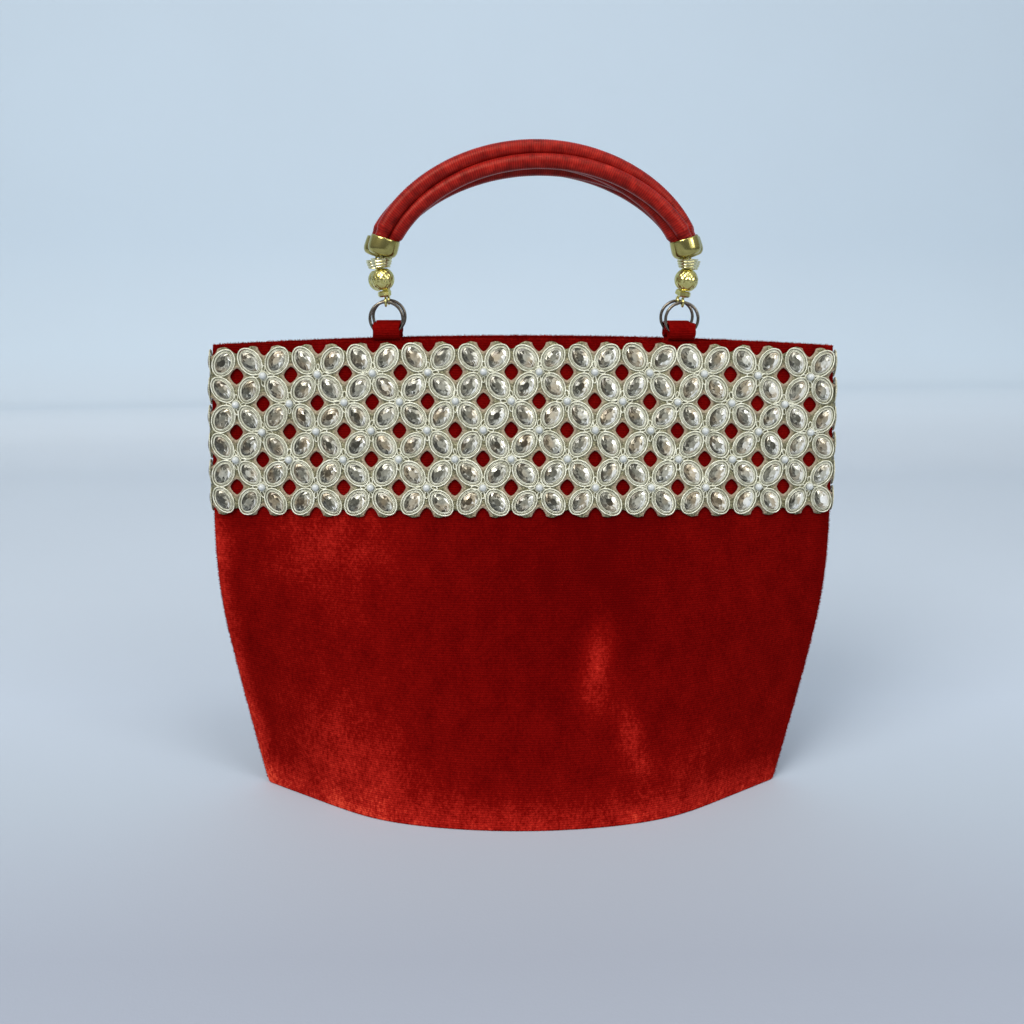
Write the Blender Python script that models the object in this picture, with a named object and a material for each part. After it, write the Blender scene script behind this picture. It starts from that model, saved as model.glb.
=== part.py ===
# Evening handbag: a velvet bag on a boat-shaped base, with a wide band of thread
# petals, stones and pearls round the mouth, and two arched handles of wrapped
# strands that swing on jump rings in velvet loops.
# Metres, +Z up, front towards -Y, origin under the middle of the base.

import math

import bmesh
import bpy
from mathutils import Matrix, Vector

MM = 0.001

# Bag body
BASE_HALF_LENGTH = 122.0 * MM
BASE_HALF_DEPTH = 47.5 * MM
BASE_BEND_X = 69.0 * MM
BASE_BEND_DEPTH = 36.5 * MM
BASE_CORNER_SHARPNESS = 14.0
WIDEST_HALF_WIDTH = 139.6 * MM
WIDEST_HEIGHT = 100.0 * MM
WIDENING = 1.15
MOUTH_HALF_WIDTH = 134.5 * MM
MOUTH_HALF_DEPTH = 9.2 * MM
MOUTH_HEIGHT = 211.8 * MM
MOUTH_CROWN = 3.5 * MM
SEAM_HALF_THICKNESS = 2.0 * MM
SEAM_TURNING = 3.4 * MM
FIT_GAP = 0.3 * MM

# Cloth and board
VELVET = 1.2 * MM
BASE_CLOTH = 1.6 * MM
BOARD = 2.0 * MM
LINING = 0.6 * MM
LINING_GAP = 0.7 * MM
LINING_DROP = 10.0 * MM

# Embroidered band
BAND_COLUMNS = 23
BAND_ROWS = 6
BAND_HEIGHT = 72.8 * MM
BAND_BELOW_MOUTH = 1.5 * MM
BAND_GAP = 0.4 * MM
NET = 0.8 * MM
PETAL_RISE = 1.6 * MM
PETAL_HALF_LENGTH = 5.0 * MM
PETAL_HALF_WIDTH = 3.6 * MM
PETAL_SHOULDER = 0.38
HOLE_HALF_DIAGONAL = 3.1 * MM
STONE_HEIGHT = 1.8 * MM
PEARL_RADIUS = 1.6 * MM
PEARL_WALL = 1.0 * MM
PEARL_TOP = 2.6 * MM
SIDE_LIFT_OUT = 0.6
SIDE_LIFT_BACK = 0.2

# Magnetic snap
SNAP_RADIUS = 7.0 * MM
SNAP_THICKNESS = 2.0 * MM
SNAP_BELOW_MOUTH = 18.0 * MM
SNAP_STUD_RADIUS = 2.5 * MM
SNAP_STUD_LENGTH = 1.2 * MM
SNAP_BORE_RADIUS = 0.8 * MM
SNAP_EDGE_IN = 0.8 * MM
SNAP_EDGE_DOWN = 0.5 * MM

# Velvet loops and jump rings
TAB_SPACING = 125.9 * MM
HANDLE_SHIFT = 4.0 * MM
TAB_WIDTH = 11.3 * MM
TAB_WALL = 1.1 * MM
TAB_ROOT = 1.3 * MM
TAB_ROOT_DEPTH = 8.0 * MM
TAB_FLOOR = 0.8 * MM
TAB_FOOT_SHARE = 0.75
HANDLE_PLANE = 6.6 * MM
RING_RADIUS = 6.95 * MM
RING_WIRE = 0.65 * MM

# Handle ends, from the eye up to the strands
EYE_RADIUS = 1.6 * MM
PIN_RADIUS = 0.5 * MM
BORE_RADIUS = 1.0 * MM
EYE_NECK = 2.3 * MM
BEAD_GAP = 0.45 * MM
SMALL_BEAD_RADIUS = 2.8 * MM
SMALL_BEAD_HEIGHT = 2.4 * MM
BALL_RADIUS = 4.9 * MM
BALL_HEIGHT = 8.7 * MM
RIDGED_RADIUS = 4.75 * MM
RIDGED_NECK_RADIUS = 3.4 * MM
RIDGED_HEIGHT = 3.8 * MM
CAP_HEIGHT = 7.4 * MM
CAP_WALL = 0.5 * MM
CAP_FLOOR = 1.0 * MM
CAP_SHOULDER = 0.45
CAP_CLEARANCE = 0.42 * MM

# Handle arches
STRANDS = 3
STRAND_RADIUS = 2.4 * MM
STRAND_SWELL = 0.4 * MM
STRAND_FREE = 0.6 * MM
STRAND_FLARE = 2.4 * MM
STRAND_TURN = math.radians(110.0)
STRAND_START_TURN = math.radians(20.0)
FRONT_RISE = 39.7 * MM
BACK_RISE = 38.5 * MM
FRONT_LEAN = math.radians(9.0)
BACK_LEAN = math.radians(32.0)
ARCH_FULLNESS = 1.26

# Fineness of the round pieces and of the cloth grids
PANEL_COLUMNS = 12
PANEL_ROWS = 6
LINING_ROWS = 6
STRAND_STEPS = 12
STRAND_SIDES = 6
TAB_STEPS = 8
HOLE_STEPS = 12
RING_STEPS = 16
EYE_STEPS = 8
PIN_STEPS = 5
WIRE_SIDES = 5
SNAP_SEGMENTS = 12
BEAD_SEGMENTS = 8
BALL_SEGMENTS = 10
BALL_STEPS = 4
CAP_SEGMENTS = 10

# Places worked out from the sizes above
PANEL_FOOT = BASE_CLOTH + FIT_GAP
BOARD_TOP = PANEL_FOOT + BOARD
LINING_FOOT = BOARD_TOP + FIT_GAP
TAB_X = TAB_SPACING / 2.0
CHAIN_LENGTH = EYE_NECK + SMALL_BEAD_HEIGHT + BALL_HEIGHT + RIDGED_HEIGHT + 2 * BEAD_GAP
BUNDLE_RADIUS = (2.0 * STRAND_RADIUS + FIT_GAP) / (2.0 * math.sin(math.pi / STRANDS))
CAP_INNER_RADIUS = BUNDLE_RADIUS + STRAND_RADIUS + CAP_CLEARANCE
CAP_RADIUS = CAP_INNER_RADIUS + CAP_WALL


def clear_scene():
    for item in list(bpy.data.objects):
        bpy.data.objects.remove(item, do_unlink=True)


def material(name, colour, roughness, metallic=0.0):
    finish = bpy.data.materials.new(name)
    finish.use_nodes = True
    shader = finish.node_tree.nodes["Principled BSDF"]
    shader.inputs["Base Color"].default_value = (*colour, 1.0)
    shader.inputs["Roughness"].default_value = roughness
    shader.inputs["Metallic"].default_value = metallic
    return finish


def add_object(name, points, faces, finish, smooth_angle=None):
    """Make one closed mesh object from points and faces, normals outward."""
    mesh = bpy.data.meshes.new(name)
    shape = bmesh.new()
    corners = [shape.verts.new(point) for point in points]
    for face in faces:
        shape.faces.new([corners[index] for index in face])
    bmesh.ops.recalc_face_normals(shape, faces=shape.faces)
    shape.to_mesh(mesh)
    shape.free()
    if smooth_angle is not None:
        mesh.shade_smooth()
        mesh.set_sharp_from_angle(angle=smooth_angle)
    piece = bpy.data.objects.new(name, mesh)
    piece.data.materials.append(finish)
    bpy.context.scene.collection.objects.link(piece)
    return piece


# Form of the bag: half width, half depth and plan outline at a height

def mouth_height(share):
    """Height of the mouth edge, crowned from the side seams to the middle."""
    return MOUTH_HEIGHT - MOUTH_CROWN * share * share


def half_width(z):
    """Half width at a height: out to the widest line, then in to the mouth."""
    if z < WIDEST_HEIGHT:
        below = 1.0 - z / WIDEST_HEIGHT
        return WIDEST_HALF_WIDTH - (WIDEST_HALF_WIDTH - BASE_HALF_LENGTH) * below ** WIDENING
    above = (z - WIDEST_HEIGHT) / (MOUTH_HEIGHT - WIDEST_HEIGHT)
    return WIDEST_HALF_WIDTH - (WIDEST_HALF_WIDTH - MOUTH_HALF_WIDTH) * above * above


def half_depth(z):
    """Half depth at the middle, a straight taper from the base to the mouth."""
    return BASE_HALF_DEPTH + (MOUTH_HALF_DEPTH - BASE_HALF_DEPTH) * z / MOUTH_HEIGHT


def base_plan(share):
    """Boat plan: a shallow curve between the bends, straight from bend to corner."""
    bend = BASE_BEND_X / BASE_HALF_LENGTH
    level = BASE_BEND_DEPTH / BASE_HALF_DEPTH
    bow = 1.0 - (1.0 - level) * (share / bend) ** 2
    side = level * (1.0 - abs(share)) / (1.0 - bend)
    if side <= 0.0:
        return 0.0
    power = -BASE_CORNER_SHARPNESS
    return (max(bow, 0.01) ** power + side ** power) ** (1.0 / power)


def plan(share, z):
    """Share of the depth left at a share of the half width, base into mouth."""
    rise = min(max(z / MOUTH_HEIGHT, 0.0), 1.0)
    blend = rise * rise * (3.0 - 2.0 * rise)
    return (1.0 - blend) * base_plan(share) + blend * (1.0 - share * share)


def wall_y(share, z):
    """Distance of the outer velvet face from the middle plane of the bag."""
    return SEAM_HALF_THICKNESS + (half_depth(z) - SEAM_HALF_THICKNESS) * plan(share, z)


def wall_shares(z, columns, end_inset):
    """Shares of the half width, evenly spread, short of each seam by end_inset."""
    reach = 1.0 - end_inset / half_width(z)
    return [reach * (2.0 * column / columns - 1.0) for column in range(columns + 1)]


def wall_point(side, share, z, inset):
    return Vector((share * half_width(z), side * (wall_y(share, z) - inset), z))


def row_height(share, row, rows, foot, drop):
    """Height of a row of a cloth grid that runs from its foot to the mouth edge."""
    return foot + (mouth_height(share) - drop - foot) * row / rows


def split(quad, other):
    """Two triangles from a quad, so that layers of cloth fold along the same line."""
    a, b, c, d = quad
    if other:
        return [[a, b, d], [b, c, d]]
    return [[a, b, c], [a, c, d]]


def panel(name, side, finish):
    """A velvet wall: outer and inner face, turned in to the seam at each side."""
    outer = []
    inner = []
    for row in range(PANEL_ROWS + 1):
        level = row_height(0.0, row, PANEL_ROWS, PANEL_FOOT, 0.0)
        shares = wall_shares(level, PANEL_COLUMNS, SEAM_TURNING)
        out_row = []
        in_row = []
        for share in [-1.0] + shares + [1.0]:
            z = row_height(share, row, PANEL_ROWS, PANEL_FOOT, 0.0)
            out_row.append(wall_point(side, share, z, 0.0))
            point = wall_point(side, share, z, VELVET)
            if abs(share) == 1.0:
                point.y = side * FIT_GAP / 2.0
            in_row.append(point)
        outer.append(out_row)
        inner.append(in_row)
    points = [point for row in outer + inner for point in row]
    width = PANEL_COLUMNS + 3
    height = PANEL_ROWS + 1
    half = width * height
    faces = []
    for row in range(height - 1):
        for column in range(width - 1):
            first = row * width + column
            quad = [first, first + 1, first + width + 1, first + width]
            for corner in split(quad, side > 0):
                faces.append(corner)
                faces.append([half + index for index in reversed(corner)])
    border = [column for column in range(width)]
    border += [row * width + width - 1 for row in range(1, height)]
    border += [(height - 1) * width + column for column in range(width - 2, -1, -1)]
    border += [row * width for row in range(height - 2, 0, -1)]
    for index, start in enumerate(border):
        end = border[(index + 1) % len(border)]
        faces.append([end, start, half + start, half + end])
    return add_object(name, points, faces, finish, math.radians(50.0))


def outline(z_of_share, inset, end_inset, columns, z_of_plan=None):
    """Closed plan outline at an inset from the outer velvet face."""
    level = z_of_share(0.0)
    shares = wall_shares(level, columns, end_inset)
    run = []
    for side, order in ((-1, shares), (1, list(reversed(shares)))):
        for share in order:
            z = z_of_share(share)
            y_level = z if z_of_plan is None else z_of_plan
            y = wall_y(share, y_level) - inset
            run.append(Vector((share * half_width(level), side * y, z)))
    return run


def strip_faces(start, columns, flip):
    """Quads that close a plan outline from its front run to its back run."""
    count = 2 * (columns + 1)
    faces = []
    for column in range(columns):
        quad = [start + column, start + column + 1]
        quad += [start + count - 2 - column, start + count - 1 - column]
        faces.append(list(reversed(quad)) if flip else quad)
    return faces


def slab(name, bottom, top, columns, finish):
    """A flat plate between two plan outlines."""
    count = len(bottom)
    faces = strip_faces(0, columns, True) + strip_faces(count, columns, False)
    for index in range(count):
        after = (index + 1) % count
        faces.append([index, after, count + after, count + index])
    return add_object(name, bottom + top, faces, finish)


def base_pieces(velvet, card):
    def at_height(z):
        return lambda share: z
    bottom = outline(at_height(0.0), 0.0, 0.0, PANEL_COLUMNS, PANEL_FOOT)
    top = outline(at_height(BASE_CLOTH), 0.0, 0.0, PANEL_COLUMNS, PANEL_FOOT)
    slab("base_panel", bottom, top, PANEL_COLUMNS, velvet)
    inset = VELVET + FIT_GAP
    end_inset = SEAM_TURNING + 2.0 * FIT_GAP
    low = outline(at_height(PANEL_FOOT), inset, end_inset, PANEL_COLUMNS, BOARD_TOP)
    high = [Vector((point.x, point.y, BOARD_TOP)) for point in low]
    slab("base_board", low, high, PANEL_COLUMNS, card)


def lining_bag(finish):
    """The inner bag: outer and inner walls, a rim at the top and its own floor."""
    outer_inset = VELVET + LINING_GAP
    inner_inset = outer_inset + LINING
    outer_end = SEAM_TURNING + 2.0 * FIT_GAP
    inner_end = outer_end + 2.0 * LINING
    rings = []
    for row in range(LINING_ROWS + 1):
        def height(share, step=row):
            return row_height(share, step, LINING_ROWS, LINING_FOOT, LINING_DROP)
        rings.append(outline(height, outer_inset, outer_end, PANEL_COLUMNS))
    for row in range(LINING_ROWS, -1, -1):
        def height(share, step=row):
            foot = LINING_FOOT + LINING
            return row_height(share, step, LINING_ROWS, foot, LINING_DROP)
        rings.append(outline(height, inner_inset, inner_end, PANEL_COLUMNS))
    count = len(rings[0])
    faces = strip_faces(0, PANEL_COLUMNS, True)
    faces += strip_faces((len(rings) - 1) * count, PANEL_COLUMNS, False)
    for ring in range(len(rings) - 1):
        for index in range(count):
            after = (index + 1) % count
            low = ring * count
            quad = [low + index, low + after, low + count + after, low + count + index]
            faces += split(quad, ring > LINING_ROWS)
    points = [point for ring in rings for point in ring]
    return add_object("lining", points, faces, finish)


# The embroidered band

def band_point(side, column, row, lift):
    """A point on the band; column and row may lie between the grid's lines."""
    share = 2.0 * column / BAND_COLUMNS - 1.0
    z = mouth_height(share) - BAND_BELOW_MOUTH - BAND_HEIGHT * row / BAND_ROWS
    x = share * half_width(z)
    y = wall_y(share, z) + lift
    if abs(share) > 0.9999:
        x += math.copysign(SIDE_LIFT_OUT * lift, share)
        y -= SIDE_LIFT_BACK * lift
    return Vector((x, side * y, z))


def return_point(side, column, row, lift):
    """A point on the narrow return that turns the band round the side seam."""
    share = 2.0 * column / BAND_COLUMNS - 1.0
    z = mouth_height(share) - BAND_BELOW_MOUTH - BAND_HEIGHT * row / BAND_ROWS
    return Vector((math.copysign(half_width(z) + lift, share), side * FIT_GAP / 2.0, z))


def is_hole(column, row):
    return (column + row) % 2 == 0


def column_pitch():
    return 2.0 * MOUTH_HALF_WIDTH / BAND_COLUMNS


def row_pitch():
    return BAND_HEIGHT / BAND_ROWS


def cell_outline(column, row):
    """Corners of one petal's patch of net: cut short at the two holes."""
    across = HOLE_HALF_DIAGONAL / column_pitch()
    down = HOLE_HALF_DIAGONAL / row_pitch()
    left, right, top, bottom = column, column + 1, row, row + 1
    if is_hole(column, row):
        run = [("knot", right, top), ("edge", left + across, top), ("edge", left, top + down),
               ("knot", left, bottom), ("edge", right - across, bottom), ("edge", right, bottom - down)]
    else:
        run = [("knot", left, top), ("edge", left, bottom - down), ("edge", left + across, bottom),
               ("knot", right, bottom), ("edge", right, top + down), ("edge", right - across, top)]
    return [key_of(*entry) for entry in run]


def petal_frame(column, row):
    """Direction of a petal in grid steps, and the direction across it."""
    tilt = -1.0 if is_hole(column, row) else 1.0
    across = 1.0 / column_pitch()
    down = 1.0 / row_pitch()
    half = math.sqrt(0.5)
    along = (half * across, half * tilt * down)
    aside = (half * across, -half * tilt * down)
    return along, aside


def petal_point(side, column, row, along_by, aside_by, lift):
    along, aside = petal_frame(column, row)
    across = column + 0.5 + along_by * along[0] + aside_by * aside[0]
    down = row + 0.5 + along_by * along[1] + aside_by * aside[1]
    return band_point(side, across, down, lift)


def navette(half_length, half_breadth):
    """Six corners of a pointed oval, in order round it."""
    shoulder = PETAL_SHOULDER * half_length
    return [(half_length, 0.0), (shoulder, half_breadth), (-shoulder, half_breadth),
            (-half_length, 0.0), (-shoulder, -half_breadth), (shoulder, -half_breadth)]


def has_pearl(kind, column, row):
    inside = 0 < column < BAND_COLUMNS and 0 < row < BAND_ROWS
    return kind == "knot" and inside


def pearl_rim(knot, neighbour):
    """Point of a pearl's rim on the grid line from its knot to a neighbour."""
    kind, column, row = knot
    step_across = neighbour[1] - column
    step_down = neighbour[2] - row
    if abs(step_across) > abs(step_down):
        return key_of("rim", column + math.copysign(PEARL_RADIUS / column_pitch(), step_across), row)
    return key_of("rim", column, row + math.copysign(PEARL_RADIUS / row_pitch(), step_down))


def front_outline(keys):
    """A patch's outline on the front, where each pearl cuts its corner short."""
    run = []
    for index, key in enumerate(keys):
        if has_pearl(*key):
            run.append(pearl_rim(key, keys[index - 1]))
            run.append(pearl_rim(key, keys[(index + 1) % len(keys)]))
        else:
            run.append(key)
    return run


def key_of(kind, column, row):
    return (kind, round(column, 6), round(row, 6))


class Net:
    """Points and faces of one band, with front and back corners by grid place."""

    def __init__(self, side):
        self.side = side
        self.points = []
        self.faces = []
        self.front = {}
        self.back = {}
        self.patches = []

    def add_point(self, point):
        self.points.append(point)
        return len(self.points) - 1

    def corner(self, key):
        """Make a corner's back point, and its front point where the net is thick."""
        kind, column, row = key
        place = return_point if kind == "return" else band_point
        if key not in self.back and kind != "rim":
            self.back[key] = self.add_point(place(self.side, column, row, BAND_GAP))
        if key not in self.front:
            if kind == "edge":
                self.front[key] = self.back[key]
            else:
                self.front[key] = self.add_point(place(self.side, column, row, BAND_GAP + NET))

    def back_patch(self, keys):
        for key in keys:
            self.corner(key)
        self.faces.append([self.back[key] for key in reversed(keys)])
        self.patches.append(keys)

    def petal(self, column, row):
        """A raised petal over its patch, up to its crest and then to its stone's point."""
        keys = cell_outline(column, row)
        self.back_patch(keys)
        run = front_outline(keys)
        for key in run:
            self.corner(key)
        lift = BAND_GAP + PETAL_RISE
        ring = navette(PETAL_HALF_LENGTH, PETAL_HALF_WIDTH)
        crest = [petal_point(self.side, column, row, a, b, lift) for a, b in ring]
        ids = [self.add_point(point) for point in crest]
        peak = self.add_point(petal_point(self.side, column, row, 0.0, 0.0, lift + STONE_HEIGHT))
        flat = [band_point(self.side, key[1], key[2], lift) for key in run]
        near = [min(range(6), key=lambda n: (crest[n] - point).length) for point in flat]
        for index, key in enumerate(run):
            after = (index + 1) % len(run)
            face = [self.front[key], self.front[run[after]], ids[near[after]]]
            if near[after] != near[index]:
                face.append(ids[near[index]])
            self.faces.append(face)
        for index in range(6):
            self.faces.append([ids[index], ids[(index + 1) % 6], peak])

    def pearl(self, column, row):
        """A pearl where four petal tips meet: a short wall and a point over it."""
        knot = key_of("knot", column, row)
        spokes = [(1, 0), (0, 1), (-1, 0), (0, -1)]
        rim = [pearl_rim(knot, ("", column + a, row + b)) for a, b in spokes]
        for key in rim:
            self.corner(key)
        low = [self.front[key] for key in rim]
        wall = BAND_GAP + NET + PEARL_WALL
        high = [self.add_point(band_point(self.side, key[1], key[2], wall)) for key in rim]
        tip = BAND_GAP + NET + PEARL_TOP
        peak = self.add_point(band_point(self.side, column, row, tip))
        for index in range(4):
            after = (index + 1) % 4
            self.faces.append([low[index], low[after], high[after], high[index]])
            self.faces.append([high[index], high[after], peak])

    def return_patch(self, column, row):
        """One patch of the return, from the band's side edge to the seam."""
        down = HOLE_HALF_DIAGONAL / row_pitch()
        keys = [key_of("knot", column, row)]
        if is_hole(column, row):
            keys = [key_of("side", column, row), key_of("edge", column, row + down)]
        if is_hole(column, row + 1):
            keys += [key_of("edge", column, row + 1 - down), key_of("side", column, row + 1)]
        else:
            keys += [key_of("knot", column, row + 1)]
        keys += [key_of("return", column, row + 1), key_of("return", column, row)]
        self.back_patch(keys)
        self.faces.append([self.front[key] for key in keys])

    def border_walls(self):
        """Walls along open borders, from the front of the net to its back."""
        used = {}
        for keys in self.patches:
            for index, start in enumerate(keys):
                end = keys[(index + 1) % len(keys)]
                used.setdefault(frozenset((start, end)), []).append((start, end))
        for runs in used.values():
            if len(runs) == 2:
                continue
            start, end = runs[0]
            wall = [self.front[start], self.front[end], self.back[end], self.back[start]]
            shape = list(dict.fromkeys(wall))
            if len(shape) > 2:
                self.faces.append(shape)


def band(name, side, finish):
    """Net with a raised petal in each cell, pearls at the knots and open holes."""
    net = Net(side)
    for column in range(BAND_COLUMNS):
        for row in range(BAND_ROWS):
            net.petal(column, row)
    for column in range(1, BAND_COLUMNS):
        for row in range(1, BAND_ROWS):
            if not is_hole(column, row):
                net.pearl(column, row)
    for column in (0, BAND_COLUMNS):
        for row in range(BAND_ROWS):
            net.return_patch(column, row)
    net.border_walls()
    return add_object(name, net.points, net.faces, finish, math.radians(25.0))


# Turned pieces

def turned(name, profile, segments, finish, place, smooth_angle=math.radians(40.0)):
    """Turn a closed profile of (radius, height) pairs about the local Z axis."""
    points = []
    for radius, height in profile:
        for step in range(segments):
            turn = 2.0 * math.pi * step / segments
            points.append(Vector((radius * math.cos(turn), radius * math.sin(turn), height)))
    faces = []
    rings = len(profile)
    for ring in range(rings):
        after_ring = (ring + 1) % rings
        for step in range(segments):
            after = (step + 1) % segments
            faces.append([ring * segments + step, ring * segments + after,
                          after_ring * segments + after, after_ring * segments + step])
    piece = add_object(name, points, faces, finish, smooth_angle)
    piece.matrix_world = place
    return piece


def place_along(origin, direction):
    """Matrix that puts local Z along a direction, with local Y kept along Y."""
    z_axis = direction.normalized()
    y_axis = Vector((0.0, 1.0, 0.0))
    x_axis = y_axis.cross(z_axis).normalized()
    y_axis = z_axis.cross(x_axis)
    turn = Matrix((x_axis, y_axis, z_axis)).transposed().to_4x4()
    return Matrix.Translation(origin) @ turn


def snap_half(name, side, stud, finish):
    """One half of the magnetic snap, flat against the lining inside the mouth."""
    z = MOUTH_HEIGHT - SNAP_BELOW_MOUTH
    inset = VELVET + LINING_GAP + LINING + FIT_GAP
    slope = (MOUTH_HALF_DEPTH - BASE_HALF_DEPTH) / MOUTH_HEIGHT
    inward = Vector((0.0, -side, slope)).normalized()
    origin = Vector((0.0, side * (half_depth(z) - inset), z)) + inward * FIT_GAP
    if stud:
        step_radius = SNAP_STUD_RADIUS
        step_height = SNAP_THICKNESS + SNAP_STUD_LENGTH
    else:
        step_radius = SNAP_STUD_RADIUS + FIT_GAP
        step_height = SNAP_THICKNESS - SNAP_STUD_LENGTH
    profile = [(SNAP_BORE_RADIUS, 0.0), (SNAP_RADIUS, 0.0), (SNAP_RADIUS, SNAP_THICKNESS - SNAP_EDGE_DOWN),
               (SNAP_RADIUS - SNAP_EDGE_IN, SNAP_THICKNESS), (step_radius, SNAP_THICKNESS),
               (step_radius, step_height), (SNAP_BORE_RADIUS, step_height)]
    return turned(name, profile, SNAP_SEGMENTS, finish, place_along(origin, inward))


# Loops, rings and handles

def tab_foot():
    """Height of the loops' foot, clear of the mouth edge under the inner loop."""
    return mouth_height((TAB_X - HANDLE_SHIFT) / MOUTH_HALF_WIDTH) + FIT_GAP


def tab_place(end):
    """Place of a loop along the mouth: the handles sit a little off the middle."""
    return HANDLE_SHIFT + end * TAB_X


def ring_bottom():
    """Height of the jump ring's wire axis where it lies in its loop."""
    return tab_foot() + TAB_FLOOR + FIT_GAP + RING_WIRE


def loop_axis():
    """Height and radius of the hole in a loop that lets the ring turn over in it."""
    half_tab = TAB_WIDTH / 2.0
    drop = math.sqrt(RING_RADIUS ** 2 - half_tab ** 2)
    rise = RING_RADIUS - drop
    slant = RING_WIRE * RING_RADIUS / drop
    reach = (rise + slant + RING_WIRE) / 2.0
    return ring_bottom() - RING_WIRE + reach, reach + FIT_GAP


def tab(name, side, end, finish):
    """A velvet loop: a round hole for the ring, and a root inside the mouth."""
    height, hole = loop_axis()
    outer = hole + TAB_WALL
    foot = tab_foot()
    outer_share = (abs(tab_place(end)) + TAB_WIDTH / 2.0) / half_width(foot)
    root_out = wall_y(outer_share, foot) - VELVET - FIT_GAP
    root_in = root_out - TAB_ROOT
    run = []
    for step in range(TAB_STEPS + 1):
        turn = math.pi * step / TAB_STEPS
        run.append((HANDLE_PLANE + outer * math.cos(turn), height + outer * math.sin(turn)))
    root_low = foot - TAB_ROOT_DEPTH
    run += [(root_in, foot), (root_in, root_low), (root_out, root_low), (root_out, foot)]
    run.append((HANDLE_PLANE + outer * TAB_FOOT_SHARE, foot))
    open_radius = hole / math.cos(math.pi / HOLE_STEPS)
    ring = []
    for step in range(HOLE_STEPS):
        turn = 2.0 * math.pi * (step + 0.5) / HOLE_STEPS
        ring.append((HANDLE_PLANE + open_radius * math.cos(turn), height + open_radius * math.sin(turn)))
    mesh_shape = bmesh.new()
    edges = []
    for outline_run in (run, ring):
        corners = [mesh_shape.verts.new((0.0, side * y, z)) for y, z in outline_run]
        for index, corner in enumerate(corners):
            edges.append(mesh_shape.edges.new((corner, corners[(index + 1) % len(corners)])))
    filled = bmesh.ops.triangle_fill(mesh_shape, edges=edges, use_beauty=True)
    flat = [item for item in filled["geom"] if isinstance(item, bmesh.types.BMFace)]
    grown = bmesh.ops.extrude_face_region(mesh_shape, geom=flat)
    moved = [item for item in grown["geom"] if isinstance(item, bmesh.types.BMVert)]
    bmesh.ops.translate(mesh_shape, verts=moved, vec=(TAB_WIDTH, 0.0, 0.0))
    bmesh.ops.translate(mesh_shape, verts=mesh_shape.verts, vec=(-TAB_WIDTH / 2.0, 0.0, 0.0))
    bmesh.ops.recalc_face_normals(mesh_shape, faces=mesh_shape.faces)
    mesh = bpy.data.meshes.new(name)
    mesh_shape.to_mesh(mesh)
    mesh_shape.free()
    piece = bpy.data.objects.new(name, mesh)
    piece.data.materials.append(finish)
    piece.location = (tab_place(end), 0.0, 0.0)
    bpy.context.scene.collection.objects.link(piece)
    return piece


def torus_parts(centre, first, second, radius, wire, steps, sides):
    """Points and faces of a ring of wire in the plane of two directions."""
    across = first.cross(second)
    points = []
    for step in range(steps):
        turn = 2.0 * math.pi * step / steps
        spoke = math.cos(turn) * first + math.sin(turn) * second
        for side in range(sides):
            roll = 2.0 * math.pi * side / sides
            offset = math.cos(roll) * spoke + math.sin(roll) * across
            points.append(centre + radius * spoke + wire * offset)
    faces = []
    for step in range(steps):
        after_step = (step + 1) % steps
        for side in range(sides):
            after = (side + 1) % sides
            faces.append([step * sides + side, step * sides + after,
                          after_step * sides + after, after_step * sides + side])
    return points, faces


def jump_ring(name, side, end, finish):
    """A plain wire ring, upright in the loop, with its origin on its swing axis."""
    height = loop_axis()[0]
    centre = Vector((0.0, 0.0, ring_bottom() + RING_RADIUS - height))
    points, faces = torus_parts(centre, Vector((1, 0, 0)), Vector((0, 0, 1)),
                                RING_RADIUS, RING_WIRE, RING_STEPS, WIRE_SIDES)
    piece = add_object(name, points, faces, finish, math.radians(70.0))
    piece.location = (tab_place(end), side * HANDLE_PLANE, height)
    return piece


def eye_height():
    """Height of the wire's axis at the top of a jump ring, the handle's axis."""
    return ring_bottom() + 2.0 * RING_RADIUS


def chain_point(lean, length):
    """Place and tilt on a handle end: it leans out at the eye, upright at the cap."""
    tilt = lean * (1.0 - length / CHAIN_LENGTH)
    if lean < 1e-6:
        return 0.0, length, 0.0
    curve = -lean / CHAIN_LENGTH
    out = (math.cos(lean) - math.cos(tilt)) / curve
    up = (math.sin(tilt) - math.sin(lean)) / curve
    return out, up, tilt


def chain_place(end, lean, length):
    """Matrix on a handle end, in the handle's own frame (origin at the eye line)."""
    out, up, tilt = chain_point(lean, length)
    direction = Vector((end * math.sin(tilt), 0.0, math.cos(tilt)))
    return place_along(Vector((end * (TAB_X + out), 0.0, up)), direction)


def tube_parts(path, sideways, radii, sides):
    """Points and faces of a capped tube along a path that lies near one plane."""
    points = []
    count = len(path)
    for index, centre in enumerate(path):
        before = path[max(index - 1, 0)]
        after = path[min(index + 1, count - 1)]
        along = (after - before).normalized()
        first = sideways - along * sideways.dot(along)
        first.normalize()
        second = along.cross(first)
        for side in range(sides):
            roll = 2.0 * math.pi * side / sides
            spoke = math.cos(roll) * first + math.sin(roll) * second
            points.append(centre + radii[index] * spoke)
    faces = [list(range(sides)), [(count - 1) * sides + side for side in reversed(range(sides))]]
    for index in range(count - 1):
        for side in range(sides):
            after = (side + 1) % sides
            faces.append([index * sides + side, index * sides + after,
                          (index + 1) * sides + after, (index + 1) * sides + side])
    return points, faces


def join_parts(name, parts, finish):
    """One object from overlapping closed parts, joined by a Boolean union."""
    pieces = []
    for number, (points, faces) in enumerate(parts):
        pieces.append(add_object(name if number == 0 else f"{name}_tool_{number}", points, faces, finish))
    for tool in pieces[1:]:
        union = pieces[0].modifiers.new("union", "BOOLEAN")
        union.operation = "UNION"
        union.solver = "EXACT"
        union.object = tool
        tool.hide_render = True
        tool.display_type = "WIRE"
        tool.parent = pieces[0]
    return pieces[0]


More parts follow.
